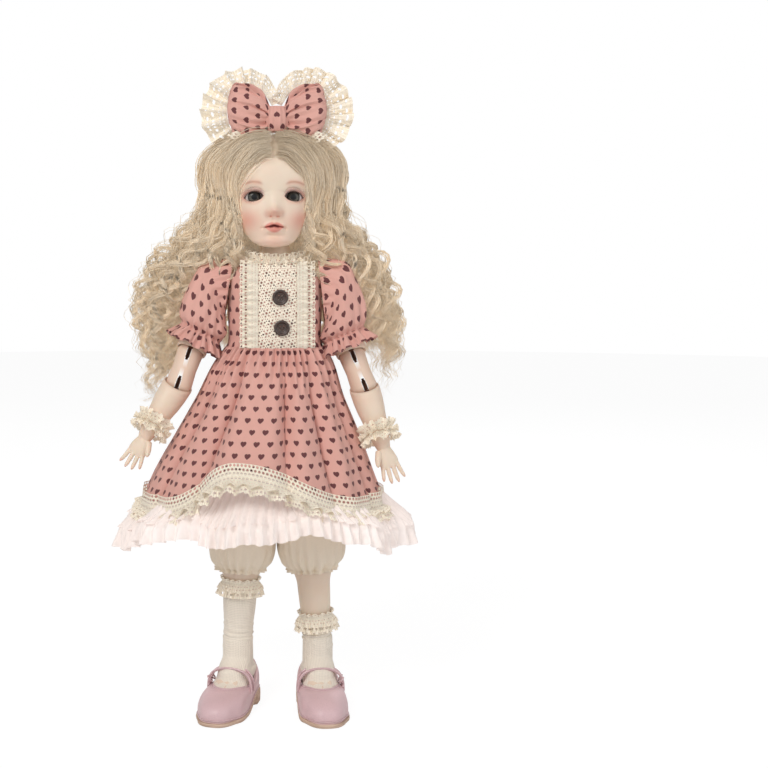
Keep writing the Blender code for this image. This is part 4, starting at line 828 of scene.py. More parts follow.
def face_tint(x, z, front):
    """Blush, brows, lids and lips, painted on the face."""
    X, Z = x / MM, z / MM
    base = np.broadcast_to(tone("resin"), x.shape + (3,)).copy()
    blush, lips, brow = tone("blush"), tone("lips"), tone("brows")
    mauve = linear((0.70, 0.46, 0.45))
    grain = 0.75 + 0.25 * np.sin(X * 9.1 + Z * 3.7) * np.sin(Z * 7.9 - X * 2.3)
    for sign in (-1, 1):
        base = over(base, blush, 0.62 * hill(X, sign * 14.0, 6.4) * hill(Z, 9.6, 5.6) * front)
        upper, lower, _ = (value / MM for value in eye_edges(x, sign))
        span = step(6.6 - np.abs(X - sign * 10.6), 0, 2.6)
        base = over(base, mauve, 0.62 * span * hill(Z, upper + 0.9, 1.5) * front)
        base = over(base, blush, 0.34 * hill(X, sign * 14.8, 2.6) * hill(Z, 22.0, 3.4) * front)
        base = over(base, blush, 0.34 * span * hill(Z, lower - 0.7, 1.1) * front)
        base = over(base, linear((0.33, 0.20, 0.18)),
                0.9 * step(5.3 - np.abs(X - sign * 10.3), 0, 0.6) * hill(Z, upper + 0.05, 0.34) * front)
        base = over(base, linear((0.55, 0.36, 0.33)),
                0.6 * step(4.9 - np.abs(X - sign * 10.4), 0, 1.0) * hill(Z, lower - 0.05, 0.22) * front)
        arc = 28.6 + 0.35 * ((X * sign - 6.8) / 4.0) - 0.052 * (X * sign - 9.5) ** 2
        fade = step(X * sign, 5.0, 8.0) * (1 - step(X * sign, 13.6, 18.0))
        strokes = 0.72 + 0.28 * np.sin((X * sign * 1.0 + (Z - arc) * 1.4) * 11.0)
        base = over(base, brow, 0.80 * fade * strokes * hill(Z, arc, 0.60) * front)
        base = over(base, blush, 0.30 * fade * hill(Z, arc, 1.6) * front)
        base = over(base, blush, 0.5 * hill(X, sign * 1.8, 0.9) * hill(Z, 11.4, 0.6) * front)
        base = over(base, blush, 0.22 * hill(X, sign * 3.6, 1.4) * hill(Z, 13.0, 2.0) * front)
    base = over(base, blush, 0.42 * hill(X, 0, 3.0) * hill(Z, 13.2, 2.4) * front)
    base = over(base, blush, 0.34 * hill(X, 0, 8.0) * hill(Z, -1.6, 3.2) * front)
    base = over(base, blush, 0.20 * hill(X, 0, 11.0) * hill(Z, 6.0, 6.0) * front)
    line = 6.5 + 0.35 * hill(X, 0, 1.3) - 0.026 * X**2
    top = 8.75 - 0.55 * hill(X, 0, 0.8) - 0.072 * X**2 - 0.0008 * X**4
    low = 3.3 + 0.11 * X**2 + 0.0006 * X**4
    mouth = step(np.minimum(top - Z, Z - low), -0.45, 0.75) * step(5.9 - np.abs(X), 0, 0.8) * front
    base = over(base, lips, 0.68 * mouth * (0.9 + 0.1 * grain))
    base = over(base, lips * 0.45, 0.85 * step(5.6 - np.abs(X), 0, 1.5) * hill(Z, line, 0.34) * front)
    base = over(base, linear((0.42, 0.09, 0.09)),
            0.95 * step(3.0 - np.abs(X), 0, 1.2) * hill(Z, line - 0.1, 0.80) * front)
    return base


class DOLL_OT_head(bpy.types.Operator):
    """Model and paint the face on the closed head"""

    bl_idname = "doll.head"
    bl_label = "Head"

    def execute(self, context):
        shares = np.linspace(-1, 1, 341)[:-1]
        angle = pi * (0.42 * shares + 0.58 * shares**3)
        z = np.concatenate([np.linspace(-4.0, 3.0, 44)[:-1], np.linspace(3.0, 31.0, 190)[:-1],
                np.linspace(31.0, 52.4, 40)]) * MM
        angle, z = np.meshgrid(angle, z)
        x, y = face_surface(angle, z)
        front = step(np.cos(angle), 0.1, 0.5)
        opening = eye_mask(x, z, 0.16 * MM) * front
        tint = face_tint(x, z, front)
        # Painted shade: the skin pushed back inside the eye openings is dark brown, standing in for the
        # shade in the sockets round the glass eyes.
        tint = over(tint, linear((0.30, 0.17, 0.15)), opening)
        points = head_to_world(np.stack([x, y + opening * 4.4 * MM, z], -1))
        face = Sheet().grid(points, closed=True, tint=tint, caps=True).build("head_shell", finish("resin"),
                "resin")
        wear(face, "head", "head_face")
        return {"FINISHED"}


EYE_R = 5.5 * MM
EYE_CENTRE = (9.9 * MM, -14.2 * MM, 21.4 * MM)


class DOLL_OT_eyes(bpy.types.Operator):
    """Set glass eyes behind the lids, with lashes along the upper lids"""

    bl_idname = "doll.eyes"
    bl_label = "Eyes and lashes"

    def execute(self, context):
        white, iris = linear((0.86, 0.83, 0.81)), tone("iris")
        for side, sign in SIDES.items():
            angle, out = np.meshgrid(turn(72),
                    np.concatenate([np.linspace(0.01, 0.75, 46), np.linspace(0.8, 1.9, 14)]))
            bulge = EYE_R + 0.25 * MM * (1 - step(out, 0.30, 0.72))
            across = np.sin(out) * bulge
            x, z = across * np.cos(angle), across * np.sin(angle)
            y = -np.cos(out) * bulge
            radius = across / MM
            rays = 0.5 + 0.5 * np.sin(angle * 31 + 2.0 * np.sin(radius * 5.0)) * np.sin(angle * 17
                    + radius * 3.0)
            tint = np.broadcast_to(white, x.shape + (3,)).copy()
            tint = over(tint, linear((0.80, 0.66, 0.63)), 0.5 * step(radius, 3.6, 4.8))
            # Painted light: the iris is lighter in its lower half, as if lit through the glass from above.
            glow = 0.75 + 0.55 * step(-np.sin(angle), -0.3, 0.9)
            coloured = iris * (0.45 + 0.75 * rays * step(radius, 1.2, 2.6))[..., None] * glow[..., None]
            tint = np.where((1 - step(radius, 3.02, 3.16))[..., None] > 0.5, coloured, tint)
            tint = over(tint, (0.006, 0.006, 0.007), hill(radius, 3.05, 0.42) * 0.92)
            tint = over(tint, (0.004, 0.004, 0.005), 1 - step(radius, 1.35, 1.60))
            place = np.array([sign * EYE_CENTRE[0], EYE_CENTRE[1], EYE_CENTRE[2]])
            points = head_to_world(np.stack([x, y, z], -1) + place)
            ball = Sheet().grid(points, closed=True, tint=tint, caps=True).build(f"{side}_glass_eye",
                    finish("glass_eye"), "eye_glass")
            wear(ball, "head", f"{side}_eye")
            self.lashes(side, sign)
        return {"FINISHED"}

    def lashes(self, side, sign):
        """Upper lashes that fan out and curl up, and short lower ones at the outer half."""
        sheet = Sheet()
        for share in np.linspace(-0.92, 1.0, 25):
            for row, (low, long) in enumerate(((False, looks().lash_long), (True, 0.0009))):
                if row and share < -0.1:
                    continue
                x = sign * EYE_X + sign * share * EYE_HALF * 0.99
                upper, lower, _ = eye_edges(np.array(x), sign)
                z = float(lower if low else upper) + (-0.05 if low else 0.02) * MM
                root = np.array([x, float(skull_front(x, z)) - float(face_relief(np.array(x), np.array(z))),
                        z])
                reach = long * (0.75 + 0.35 * step(share, -0.9, 0.6))
                fan = sign * (0.15 + 0.75 * share)
                steps = np.linspace(0, 1, 6)[:, None]
                rise = -0.9 * steps if low else 0.25 * steps + 0.75 * steps**2
                path = root + reach * np.concatenate([fan * steps, -0.85 * steps * (1 - 0.25 * steps),
                        rise], 1)
                thin = np.linspace(0.000085, 0.00002, 6) * (0.7 if low else 1.0)
                sheet.grid(head_to_world(tube(path, thin, 4)), closed=True)
        wear(sheet.build(f"{side}_lashes", finish("lash"), "hair"), "head")


def skull_front(x, z):
    """The plain head's front at a place across and a height."""
    angles = np.linspace(0, 1.4, 120)
    xs, ys = skull(angles, np.full(120, float(z)))
    return np.interp(abs(float(x)), xs, ys)




def hair_tint(share, shade):
    """Root to tip colour of a strand: share 0 to 1 along it, and its own shade."""
    root, tip = tone("hair", 0.84), tone("hair", 1.16)
    colour = root + (tip - root) * step(share, 0.0, 0.35)[..., None]
    return colour * shade[..., None]


def grow_lock(rng, line, count, spread, wave, turns, thick, start=0.34):
    """One lock: strands that share a curled line, each a little off it. line is (steps, 3)."""
    share = np.linspace(0, 1, len(line))
    for _ in range(4):
        line[1:-1] = (line[:-2] + 2 * line[1:-1] + line[2:]) / 4
    ahead = unit(np.gradient(line, axis=0))
    across = unit(np.cross(ahead, np.array([0.15, 1.0, 0.1])))
    across[1:] *= np.cumprod(np.sign((across[1:] * across[:-1]).sum(1)))[:, None]
    other = np.cross(ahead, across)
    long = np.concatenate([[0], np.cumsum(np.linalg.norm(np.diff(line, axis=0), axis=1))])
    swing = wave * (0.14 + 0.86 * step(share, start * 0.8, start + 0.34)) * (1 - 0.2 * step(share, 0.8,
            1.0))
    phase = 2 * pi * long / turns * (1 + 0.25 * share) + rng.uniform(0, 2 * pi)
    hand = rng.choice([-1.0, 1.0])
    paths, shades = [], []
    own_shade = rng.uniform(0.86, 1.10)
    for _ in range(count):
        own = phase + rng.normal(0, 0.13) + 0.16 * np.sin(2 * pi * share * rng.uniform(0.5, 1.6)
                + rng.uniform(0, 6))
        size = swing * rng.uniform(0.82, 1.18)
        away = rng.normal(0, 1, 2) * spread * 0.5
        fray = (1.1 - 0.5 * step(share, 0.2, 0.6)) * (1 + 0.9 * step(share, 0.8, 1.0))
        path = line + across * (size * np.cos(own) + away[0] * fray)[:, None]
        path = path + other * (size * np.sin(own) * hand * 0.8 + away[1] * fray)[:, None]
        paths.append(path)
        shades.append(own_shade * rng.uniform(0.88, 1.12))
    taper = thick * (0.55 + 0.45 * step(share, 0, 0.08)) * (1 - 0.82 * step(share, 0.86, 1.0))
    return np.array(paths), np.broadcast_to(taper, (count, len(line))), np.array(shades)


def add_strands(sheet, paths, radii, shades, sides=3):
    for path, radius, shade in zip(paths, radii, shades):
        points = tube(path, radius, sides, flatten=0.6)
        long = np.concatenate([[0], np.cumsum(np.linalg.norm(np.diff(path, axis=0), axis=1))])
        flat = np.stack(np.broadcast_arrays(np.linspace(0, 0.004, sides + 1)[None] + shade, long[:, None]),
                -1)
        tint = hair_tint(np.linspace(0, 1, len(path)), np.full(len(path), shade))
        sheet.grid(points, flat=flat, closed=True, tint=np.repeat(tint[:, None], sides, 1))


HAIR_RISE = 1.065


def hair_side(y, z, lift):
    """How far out the hair lies on the head at a depth and a height, in head coordinates."""
    level = np.clip(z / HAIR_RISE, HEAD_HEIGHTS[0], HEAD_HEIGHTS[-1])
    wide, front, back = (spline(level, HEAD_HEIGHTS, values) + lift
            for values in (HEAD_WIDE, HEAD_FRONT, HEAD_BACK))
    centre, deep = (back - front) / 2, (front + back) / 2
    return wide * np.clip(1 - np.abs((y - centre) / deep) ** 2.2, 0, 1) ** 0.46


def wig_line(rng, sign, back, volume):
    """A lock's line on the head, from the parting out over the side to the ear; back is 0 at the brow."""
    share = np.linspace(0, 1, 24)
    start_y, leave_y = (-24.2 + 42.0 * back) * MM, (-15.0 + 33.0 * back + rng.normal(0, 1.0)) * MM
    lift = (0.5 + 1.5 * step(back, 0, 0.3) * volume) * MM
    heights = np.linspace(30, 57, 200) * MM
    inside = hair_side(np.full(200, start_y), heights, lift) > 0
    top = heights[inside].max() if inside.any() else 30 * MM
    leave_z = (14.0 + 8.0 * step(back, 0.05, 0.5) + rng.uniform(-3.0, 3.0)) * MM
    z = top - (top - leave_z) * share**1.75
    y = start_y + (leave_y - start_y) * step(share, 0.30, 1.0)
    x = hair_side(y, z, lift) * (1 + 0.48 * volume * step(back, 0.04, 0.40) * step(share, 0.05, 0.75))
    z = z + 1.6 * MM * volume * step(share, 0.0, 0.25)
    return np.stack([sign * np.maximum(x, 0.5 * MM), y, z], -1)


SIDE_PLACES = np.array([0.262, 0.2526, 0.240, 0.227, 0.212, 0.198, 0.185, 0.172, 0.155])
SIDE_OUT = {
    "right": np.array([41.0, 48.0, 56.0, 63.5, 70.0, 71.0, 67.0, 65.0, 68.0]) * MM,
    "left": np.array([38.0, 43.0, 49.0, 54.5, 60.0, 63.5, 64.5, 63.0, 60.0]) * MM,
}
SIDE_IN = np.array([21.0, 20.0, 19.5, 21.0, 28.0, 35.0, 39.0, 43.0, 48.0]) * MM


def hanging(rng, start, side, sign, spot, low, back):
    """The free part of a lock, down to its tip. spot is 0 near the neck and 1 outermost."""
    heights = np.linspace(start[2], low, 40)
    order = SIDE_PLACES[::-1]
    outer = np.interp(heights, order, SIDE_OUT[side][::-1])
    inner = np.interp(heights, order, SIDE_IN[::-1])
    target = MIDDLE + sign * (inner + (outer - inner) * spot)
    share = np.linspace(0, 1, 40)
    x = start[0] + (target - start[0]) * step(share, 0.0, 0.45)
    depth = (-9.0 + 27.0 * back + 9.0 * share * (1 - back)) * MM
    y = start[1] + (depth - start[1]) * step(share, 0.0, 0.6)
    drift = rng.normal(0, 1.8 * MM, 2)
    x = x + drift[0] * np.sin(share * rng.uniform(2.0, 5.0))
    y = y + drift[1] * np.sin(share * rng.uniform(2.0, 5.0))
    return np.stack([x, y, heights], -1)[1:]


class DOLL_OT_wig(bpy.types.Operator):
    """Grow the wig: a parted crown and long curled locks at both sides and behind"""

    bl_idname = "doll.wig"
    bl_label = "Wig"

    def execute(self, context):
        self.cap()
        for number, (side, sign) in enumerate(SIDES.items()):
            rng = np.random.default_rng(11 + number)
            for name, count, roomy, size in (("curls", looks().locks, 0.0, 1.0),
                    ("ringlets", 26, 0.55, 1.35)):
                sheet = Sheet()
                for lock in range(count):
                    back = (lock + rng.uniform(0.1, 0.9)) / count
                    volume = np.clip(roomy + rng.uniform(0.0, 1.0) ** 1.3 * (1 - roomy * 0.5), 0, 1)
                    self.lock(rng, sheet, side, sign, back, volume, size)
                if name == "ringlets":
                    self.wisps(rng, sheet, side, sign)
                made = sheet.build(f"{side}_{name}", finish("hair"), "hair", weld=False)
                nodes = (f"wig_{side}",) if name == "curls" else ()
                bend(made, "neck_hook", "head", (MIDDLE, 0, 0.212), (MIDDLE, 0, 0.256), *nodes)
        self.behind()
        return {"FINISHED"}

    def lock(self, rng, sheet, side, sign, back, volume, size):
        """One lock, from its root to its tip: the roomier ones hang further out and curl more."""
        line = head_to_world(wig_line(rng, sign, back, volume))
        spot = np.clip(0.25 * rng.uniform(0, 1) + 0.8 * volume, 0.02,
                1.0) if back > 0.15 else rng.uniform(0.0, 0.25)
        low = (0.160 if side == "right" else 0.172) + rng.uniform(-0.006, 0.030) + 0.018 * (1 - spot)
        free = hanging(rng, line[-1], side, sign, spot, low, np.clip(back + rng.normal(0, 0.12), 0, 1))
        wave = looks().curl_wide * rng.uniform(0.75, 1.3) * size
        turns = looks().curl_long * rng.uniform(0.85, 1.25) * size**0.5
        add_strands(sheet, *grow_lock(rng, np.concatenate([line, free]), looks().strands, 2.2 * MM, wave,
                turns, 0.27 * MM))

    def cap(self):
        """The crown under the locks: grooved hair that lies on the head up to the hairline."""
        angle, share = np.meshgrid(np.linspace(-pi, pi, 181), np.linspace(0, 1, 60))
        front = step(np.cos(angle), -0.15, 0.75)
        low = (6.0 + 39.0 * front * (1 - 0.12 * step(np.abs(angle), 0.25, 0.9))) * MM
        z = low + (52.6 * MM - low) * share
        groove = 0.30 * MM * np.sin(angle * 46 + 5 * np.sin(share * 5))
        x, y = skull(angle, np.minimum(z, 52.2 * MM), 0.6 * MM + groove * step(share, 0.0, 0.1))
        points = head_to_world(np.stack([x, y, z + 1.4 * MM * share], -1))
        tint = hair_tint(0.1 + 0.2 * share, 0.86 + 0.08 * np.sin(angle * 46))
        made = Sheet().grid(points, tint=tint).build("wig_crown", finish("hair"), "hair")
        wear(made, "head", "wig_cap")

    def wisps(self, rng, sheet, side, sign):
        """Loose single strands round the outline and beside the face."""
        for _ in range(110):
            start = head_to_world(np.array([sign * rng.uniform(22, 34), rng.uniform(-8, 16),
                    rng.uniform(8, 44)]) * MM)
            free = hanging(rng, start, side, sign, rng.uniform(0.4, 1.10), rng.uniform(0.158, 0.215),
                    rng.uniform(0, 1))
            grown = grow_lock(rng, free, 1, 1.2 * MM, rng.uniform(1.2, 3.2) * MM, rng.uniform(13, 24) * MM,
                    0.15 * MM, 0.05)
            add_strands(sheet, *grown)

    def behind(self):
        """The back of the wig, over the nape and the shoulders."""
        rng = np.random.default_rng(5)
        sheet = Sheet()
        for lock in range(72):
            across = (lock % 36) / 35 * 2 - 1
            height = np.linspace(52.0, 5.0, 24) * MM
            around = pi - (1.30 * across + rng.normal(0, 0.03)) * step(height, 0.053, 0.040)
            x, y = skull(around, height, (0.8 + 1.2 * (lock // 36)) * MM)
            drop = head_to_world(np.stack([x, y, height + 1.4 * MM * step(height, 0.020, 0.052)], -1))
            low = 0.170 + rng.uniform(0, 0.030) + 0.010 * abs(across)
            down = np.linspace(0, 1, 38)[1:, None]
            end = np.array([MIDDLE + across * 50 * MM, 0.030 + rng.uniform(-0.006, 0.007), low])
            free = drop[-1] + (end - drop[-1]) * np.concatenate([step(down, 0, 0.9), step(down, 0, 0.5),
                    down], 1)
            wave, turns = looks().curl_wide * rng.uniform(0.6, 1.15), looks().curl_long * rng.uniform(0.8,
                    1.5)
            whole = np.concatenate([drop, free])
            add_strands(sheet, *grow_lock(rng, whole, looks().strands, 2.2 * MM, wave, turns, 0.30 * MM,
                    0.30))
        made = sheet.build("back_curls", finish("hair"), "hair", weld=False)
        bend(made, "neck_hook", "head", (MIDDLE, 0, 0.205), (MIDDLE, 0, 0.252), "wig_back")


BOW_PLACE = np.array([0.0022, -0.0082, 0.0])


def ruffle(line, out, width, waves, depth, rows=9, gather=0.0, closed=False):
    """A frill along a line: out is the way it stands, and its outer edge waves across that."""
    line, out = np.asarray(line, float), unit(np.asarray(out, float))
    steps = len(line)
    share = np.linspace(0, 1, steps, endpoint=not closed)
    ahead = unit(np.roll(line, -1, 0) - np.roll(line, 1, 0)) if closed else unit(np.gradient(line, axis=0))
    side = unit(np.cross(ahead, out))
    whole = np.concatenate([line, line[:1]]) if closed else line
    long = np.concatenate([[0], np.cumsum(np.linalg.norm(np.diff(whole, axis=0), axis=1))])
    sheet_rows, flat = [], []
    for row in np.linspace(0, 1, rows):
        phase = 2 * pi * waves * share + 0.8 * np.sin(2 * pi * share * 3) + 0.5 * np.sin(2 * pi * share * 7
                + 1.0)
        wave = depth * row**0.8 * (np.sin(phase) + 0.22 * np.sin(2 * phase + 0.7))
        lean = 0.35 * depth * row * np.cos(phase)
        fall = width * row * (1 - gather * row * np.abs(np.sin(phase / 2)))
        sheet_rows.append(line + out * fall[:, None] + side * wave[:, None] + ahead * lean[:, None])
        flat.append(np.stack([long * 1.5, np.full(len(long), row * width)], -1))
    return np.array(sheet_rows), np.array(flat)


def declare(made, held, rests, **more):
    """Works out a cloth piece's flat size from its map, and keeps none of it."""
    mesh = made.data
    flat = np.zeros(len(mesh.loops) * 2)
    mesh.uv_layers["cloth"].data.foreach_get("uv", flat)
    flat = flat.reshape(-1, 2)
    area = sum(face.area for face in mesh.polygons) / more.pop("layers", 1)
    long = flat[:, 0].max() - flat[:, 0].min()
    wide = float(area / long)
    if min(long, wide) < 0.01:
        more["area"] = float(area)
    flat = (max(float(long), 0.01), max(wide, 0.01))


class DOLL_OT_bow(bpy.types.Operator):
    """Tie the printed bow on its lace frill, with two small lace tails"""

    bl_idname = "doll.bow"
    bl_label = "Hair bow"

    def execute(self, context):
        base = 0.3026
        for side, sign in SIDES.items():
            self.loop(side, sign, base)
            self.frill(side, sign, base)
        self.knot(base)
        return {"FINISHED"}

    def place(self, x, y, z):
        turned = head_to_world(np.stack([x, y, z - NECK[2]], -1))
        return turned

    def loop(self, side, sign, base):
        """A puffed loop of cloth, pinched into pleats at the knot."""
        angle, out = np.meshgrid(turn(132), np.linspace(0, 1, 34))
        tall = spline(out, [0, 0.12, 0.35, 0.75, 0.93, 1.0], [5.4, 10.2, 13.4, 14.2, 13.2, 11.4]) * MM
        deep = spline(out, [0, 0.2, 0.6, 0.9, 1.0], [2.2, 3.9, 5.4, 4.0, 1.6]) * MM
        pleat = 1 + (0.20 * (1 - out) ** 1.2 + 0.05) * np.sin(angle * 11
                + 2 * out) + 0.07 * np.sin(angle * 5 + 4 * out)
        x = sign * (3.6 + 22.0 * out - 2.6 * out**2 * np.abs(np.sin(angle)) ** 2) * MM
        z = base + 4.4 * MM * out + 0.8 * MM * out**2 + tall * np.sin(angle) * pleat
        y = BOW_PLACE[1] + deep * np.cos(angle) * pleat
        fold = sum(3.6 * MM * hill(angle, pi * at, 0.075)
                for at in (0.60, 0.76, 0.92, 1.10, 1.28, 1.42)) * (1.12 - 0.85 * out) * step(out, -0.2,
                0.25)
        points = self.place(x + BOW_PLACE[0], y + fold, z)
        made = Sheet().grid(points, closed=True, caps=True).build(f"{side}_bow_cloth",
                finish("print_cloth"), "print_cloth")
        wear(made, "head", f"{side}_bow_loop")

    def knot(self, base):
        angle, up = np.meshgrid(turn(64), np.linspace(0, 1, 22))
        belly = 1 - 0.26 * np.abs(2 * up - 1) ** 2
        crease = 1 + 0.045 * np.sin(angle * 13)
        x = 5.9 * MM * np.cos(angle) * belly * crease + BOW_PLACE[0]
        y = BOW_PLACE[1] + 5.8 * MM * np.sin(angle) * belly * crease
        z = base - 6.6 * MM + 13.0 * MM * up
        made = Sheet().grid(self.place(x, y, z), closed=True, caps=True).build("bow_band",
                finish("print_cloth"), "print_cloth")
        wear(made, "head", "bow_knot")

    def frill(self, side, sign, base):
        """Gathered lace behind the loop, round its outer edge, ending in a tail by the knot."""
        share = np.linspace(0, 1, 190)
        marks = np.linspace(0, 1, 7)
        x = sign * spline(share, marks, [20.5, 24.4, 25.6, 22.6, 16.0, 8.0, 2.4]) * MM
        z = base + spline(share, marks, [-8.6, -3.0, 5.0, 12.6, 16.6, 14.6, 7.4]) * MM
        line = self.place(x + BOW_PLACE[0], BOW_PLACE[1] + (3.4 + 0.8 * np.sin(share * 19)) * MM, z)
        out = unit(np.stack([x - sign * 12.0 * MM, 0.0012 + 0 * x, z - base - 2.0 * MM], -1))
        sheet = Sheet()
        width = spline(share, marks, [9.0, 13.0, 14.0, 12.5, 10.5, 9.0, 5.0])[None] / 10
        points, flat = ruffle(line, out, 10.0 * MM, 11, 3.0 * MM, 10)
        points = line[None] + (points - line[None]) * width[..., None]
        sheet.grid(points, flat=flat)
        made = sheet.build(f"{side}_bow_frill", finish("lace_frill"), "lace")
        wear(made, "head", *(["bow_lace"] if side == "right" else []))
        declare(made, "gathered", ["bow_band"])
        tail = np.linspace(0, 1, 12)
        wide = np.linspace(-1, 1, 12)
        across, down = np.meshgrid(wide, tail)
        x = sign * (13.5 + 9.0 * down + 3.6 * across * (0.55 + 0.45 * down)) * MM + BOW_PLACE[0]
        z = base + (-5.8 - 5.6 * down + 2.8 * across * (0.6 + 0.4 * down)) * MM
        y = BOW_PLACE[1] + (-1.2 - 2.4 * down + 0.5 * np.sin(across * 3 + down * 4)) * MM
        ends = Sheet().grid(self.place(x, y, z)).build(f"{side}_bow_tail", finish("lace_net"), "lace")
        wear(ends, "head")
        declare(ends, "hung", ["bow_band"])


class Line:
    """A local frame on a limb: z runs up from its lower joint's line, with its origin at the upper joint."""

    def __init__(self, top, low, turned=0.0):
        up = unit(np.asarray(top, float) - np.asarray(low, float))
        self.long = float(np.linalg.norm(np.asarray(top) - np.asarray(low)))
        side = np.array([cos(turned), sin(turned), 0.0])
        side = unit(side - up * (side @ up))
        self.origin, self.axes = np.asarray(top, float), np.stack([side, np.cross(up, side), up])

    def place(self, points):
        return self.origin + np.asarray(points, float) @ self.axes


def limb_line(side, upper, lower):
    return Line(joint_at(f"{side}_{upper}"), joint_at(f"{side}_{lower}"))


def rings_of(rows, count=56):
    """Rings from rows of millimetres: height, half width, half depth, lean in degrees."""
    full = [tuple(row) + (0.0,) * (4 - len(row)) for row in rows]
    return np.array([ring(wide * MM, deep * MM, high * MM, count=count, lean=radians(lean)) for high, wide,
            deep, lean in full])


def ball(radius, start, end, rows, z=0.0, count=56, lean=0.0):
    """Rings of a sphere between two angles from its top, in millimetres and degrees."""
    shares = np.linspace(0, 1, rows)
    made = []
    for share in shares:
        angle = radians(start + (end - start) * share)
        size = radius * sin(angle) * MM
        made.append(ring(size, size, (z + radius * cos(angle)) * MM, count=count,
                lean=radians(lean) * share))
    return np.array(made)


def cast(line, rings, warm=(), dark=()):
    """A resin piece through rings, rosy round the given places and shaded in its hollows."""
    points = line.place(rings)
    tint = np.broadcast_to(tone("resin"), points.shape)
    for places, colour, most in ((warm, tone("blush"), 0.30), (dark, linear((0.42, 0.24, 0.19)), 0.85)):
        for place, reach in places:
            near = hill(np.linalg.norm(points - np.asarray(place), axis=-1), 0, reach * MM)
            tint = over(tint, colour, most * near)
    return Sheet().grid(points, closed=True, tint=tint, caps=True)


def cut_slots(made, line, places):
    """Narrow slots, each given by its middle and half sizes in millimetres on the line."""
    for middle, half in places:
        shape = bmesh.new()
        bmesh.ops.create_cube(shape, size=2.0)
        bmesh.ops.bevel(shape, geom=shape.edges[:], offset=0.35, segments=3, affect="EDGES")
        for vertex in shape.verts:
            vertex.co = Vector(line.place((np.array(vertex.co) * half + middle) * MM))
        bmesh.ops.recalc_face_normals(shape, faces=shape.faces)
        mesh = bpy.data.meshes.new("slot")
        shape.to_mesh(mesh)
        shape.free()
        tool = bpy.data.objects.new("slot", mesh)
        bpy.context.scene.collection.objects.link(tool)
        change = made.modifiers.new("slot", "BOOLEAN")
        change.operation, change.solver, change.object = "DIFFERENCE", "EXACT", tool
        settle(made)
        bpy.data.objects.remove(tool)
        bpy.data.meshes.remove(mesh)
    made.data.set_sharp_from_angle(angle=radians(38))
    return made


def shade_slots(made, line, places):
    """Gives the walls of the slots their own darker finish, whose colour is painted shade."""
    made.data.materials.append(finish("hollow"))
    for face in made.data.polygons:
        local = (np.array(face.center) - line.origin) @ line.axes.T / MM
        if any((np.abs(local - middle) < np.array(half) + 0.02).all() for middle, half in places):
            face.material_index = len(made.data.materials) - 1


def cup_down(radius, long, rise, tilt):
    """The hollow for the next ball, from its tilted rim up to its pole."""
    start = 90 - np.degrees(np.arcsin(rise / radius))
    rings = ball(radius, start, 2, 12, -long)
    rings[..., 2] -= rings[..., 1] * np.tan(radians(tilt)) * np.linspace(1, 0, 12)[:, None]
    return rings


class DOLL_OT_arms(bpy.types.Operator):
    """Model the cast arms: upper arms, double elbow balls with their slots, and forearms"""

    bl_idname = "doll.arms"
    bl_label = "Arms"

    def execute(self, context):
        for side in SIDES:
            upper = limb_line(side, "shoulder_swing", "upper_elbow_bend")
            long = upper.long / MM
            outer = rings_of([(-7.3, 7.0, 7.0), (-14, 6.9, 6.9), (-22.6, 7.0, 7.0), (-31, 7.4, 7.4),
                    (-37.4, 7.9, 7.9)])
            rim = rings_of([(-41.6, 8.1, 8.1, 18), (-long + 2.3, 7.85, 7.85, 18),
                    (-long + 2.2, 7.45, 7.45, 18)])
            rings = np.concatenate([ball(7.6, 6, 100, 14), skin(outer, 16)[1:], rim,
                    cup_down(7.35, long, 2.6, 18)])
            low = joint_at(f"{side}_upper_elbow_bend")
            made = cast(upper, rings, [(low, 9)]).build(f"{side}_upper_arm_cast", finish("resin"), "resin")
            out = -SIDES[side]
            cut_slots(made, upper, [((out * 5.5, 0, 4.5), (6.0, 1.4, 6.4)),
                    ((0, -8.0, -long - 0.6), (1.0, 4.4, 3.7))])
            wear(made, f"{side}_upper_arm", f"{side}_upper_arm")
            self.elbow(side)
            self.forearm(side)
        return {"FINISHED"}

    def elbow(self, side):
        first, second = joint_at(f"{side}_upper_elbow_bend"), joint_at(f"{side}_lower_elbow_bend")
        line = Line(first, second)
        long = line.long / MM
        rings = np.concatenate([ball(6.95, 6, 80, 16), rings_of([(-long / 2, 6.3, 6.3)]),
                ball(6.95, 100, 174, 16, -long)])
        made = cast(line, rings, [(first, 8.5), (second, 8.5)]).build(f"{side}_elbow_cast", finish("resin"),
                "resin")
        slots = [((0, -7.4, 0.4), (1.0, 4.4, 3.7)), ((0, -7.4, -long - 0.9), (1.0, 4.4, 3.7))]
        shade_slots(cut_slots(made, line, slots), line, slots)
        wear(made, f"{side}_elbow_joint", f"{side}_elbow_joint")

    def forearm(self, side):
        line = limb_line(side, "lower_elbow_bend", "wrist_bend")
        top, low = joint_at(f"{side}_lower_elbow_bend"), joint_at(f"{side}_wrist_bend")
        long = line.long / MM
        lean = np.linspace(0, 1, 12)[:, None]
        inside = ball(7.35, 178, 98, 12)
        inside[..., 2] += inside[..., 1] * np.tan(radians(30)) * lean
        rim = rings_of([(-1.2, 7.4, 7.4, -30), (-1.3, 7.65, 7.65, -30), (-2.6, 7.8, 7.8, -27)])
        outer = rings_of([(-7.8, 7.7, 7.7, -8), (-13.0, 7.2, 7.0), (-18.0, 6.4, 6.2),
                (-long + 4.8, 5.8, 5.7), (-long + 1.6, 5.7, 5.7)])
        cup = ball(5.4, 72, 3, 9, -long)
        rings = np.concatenate([inside, rim, skin(outer, 18), cup])
        made = cast(line, rings, [(top, 9), (low, 7)]).build(f"{side}_forearm_cast", finish("resin"),
                "resin")
        wear(made, f"{side}_forearm", f"{side}_forearm")


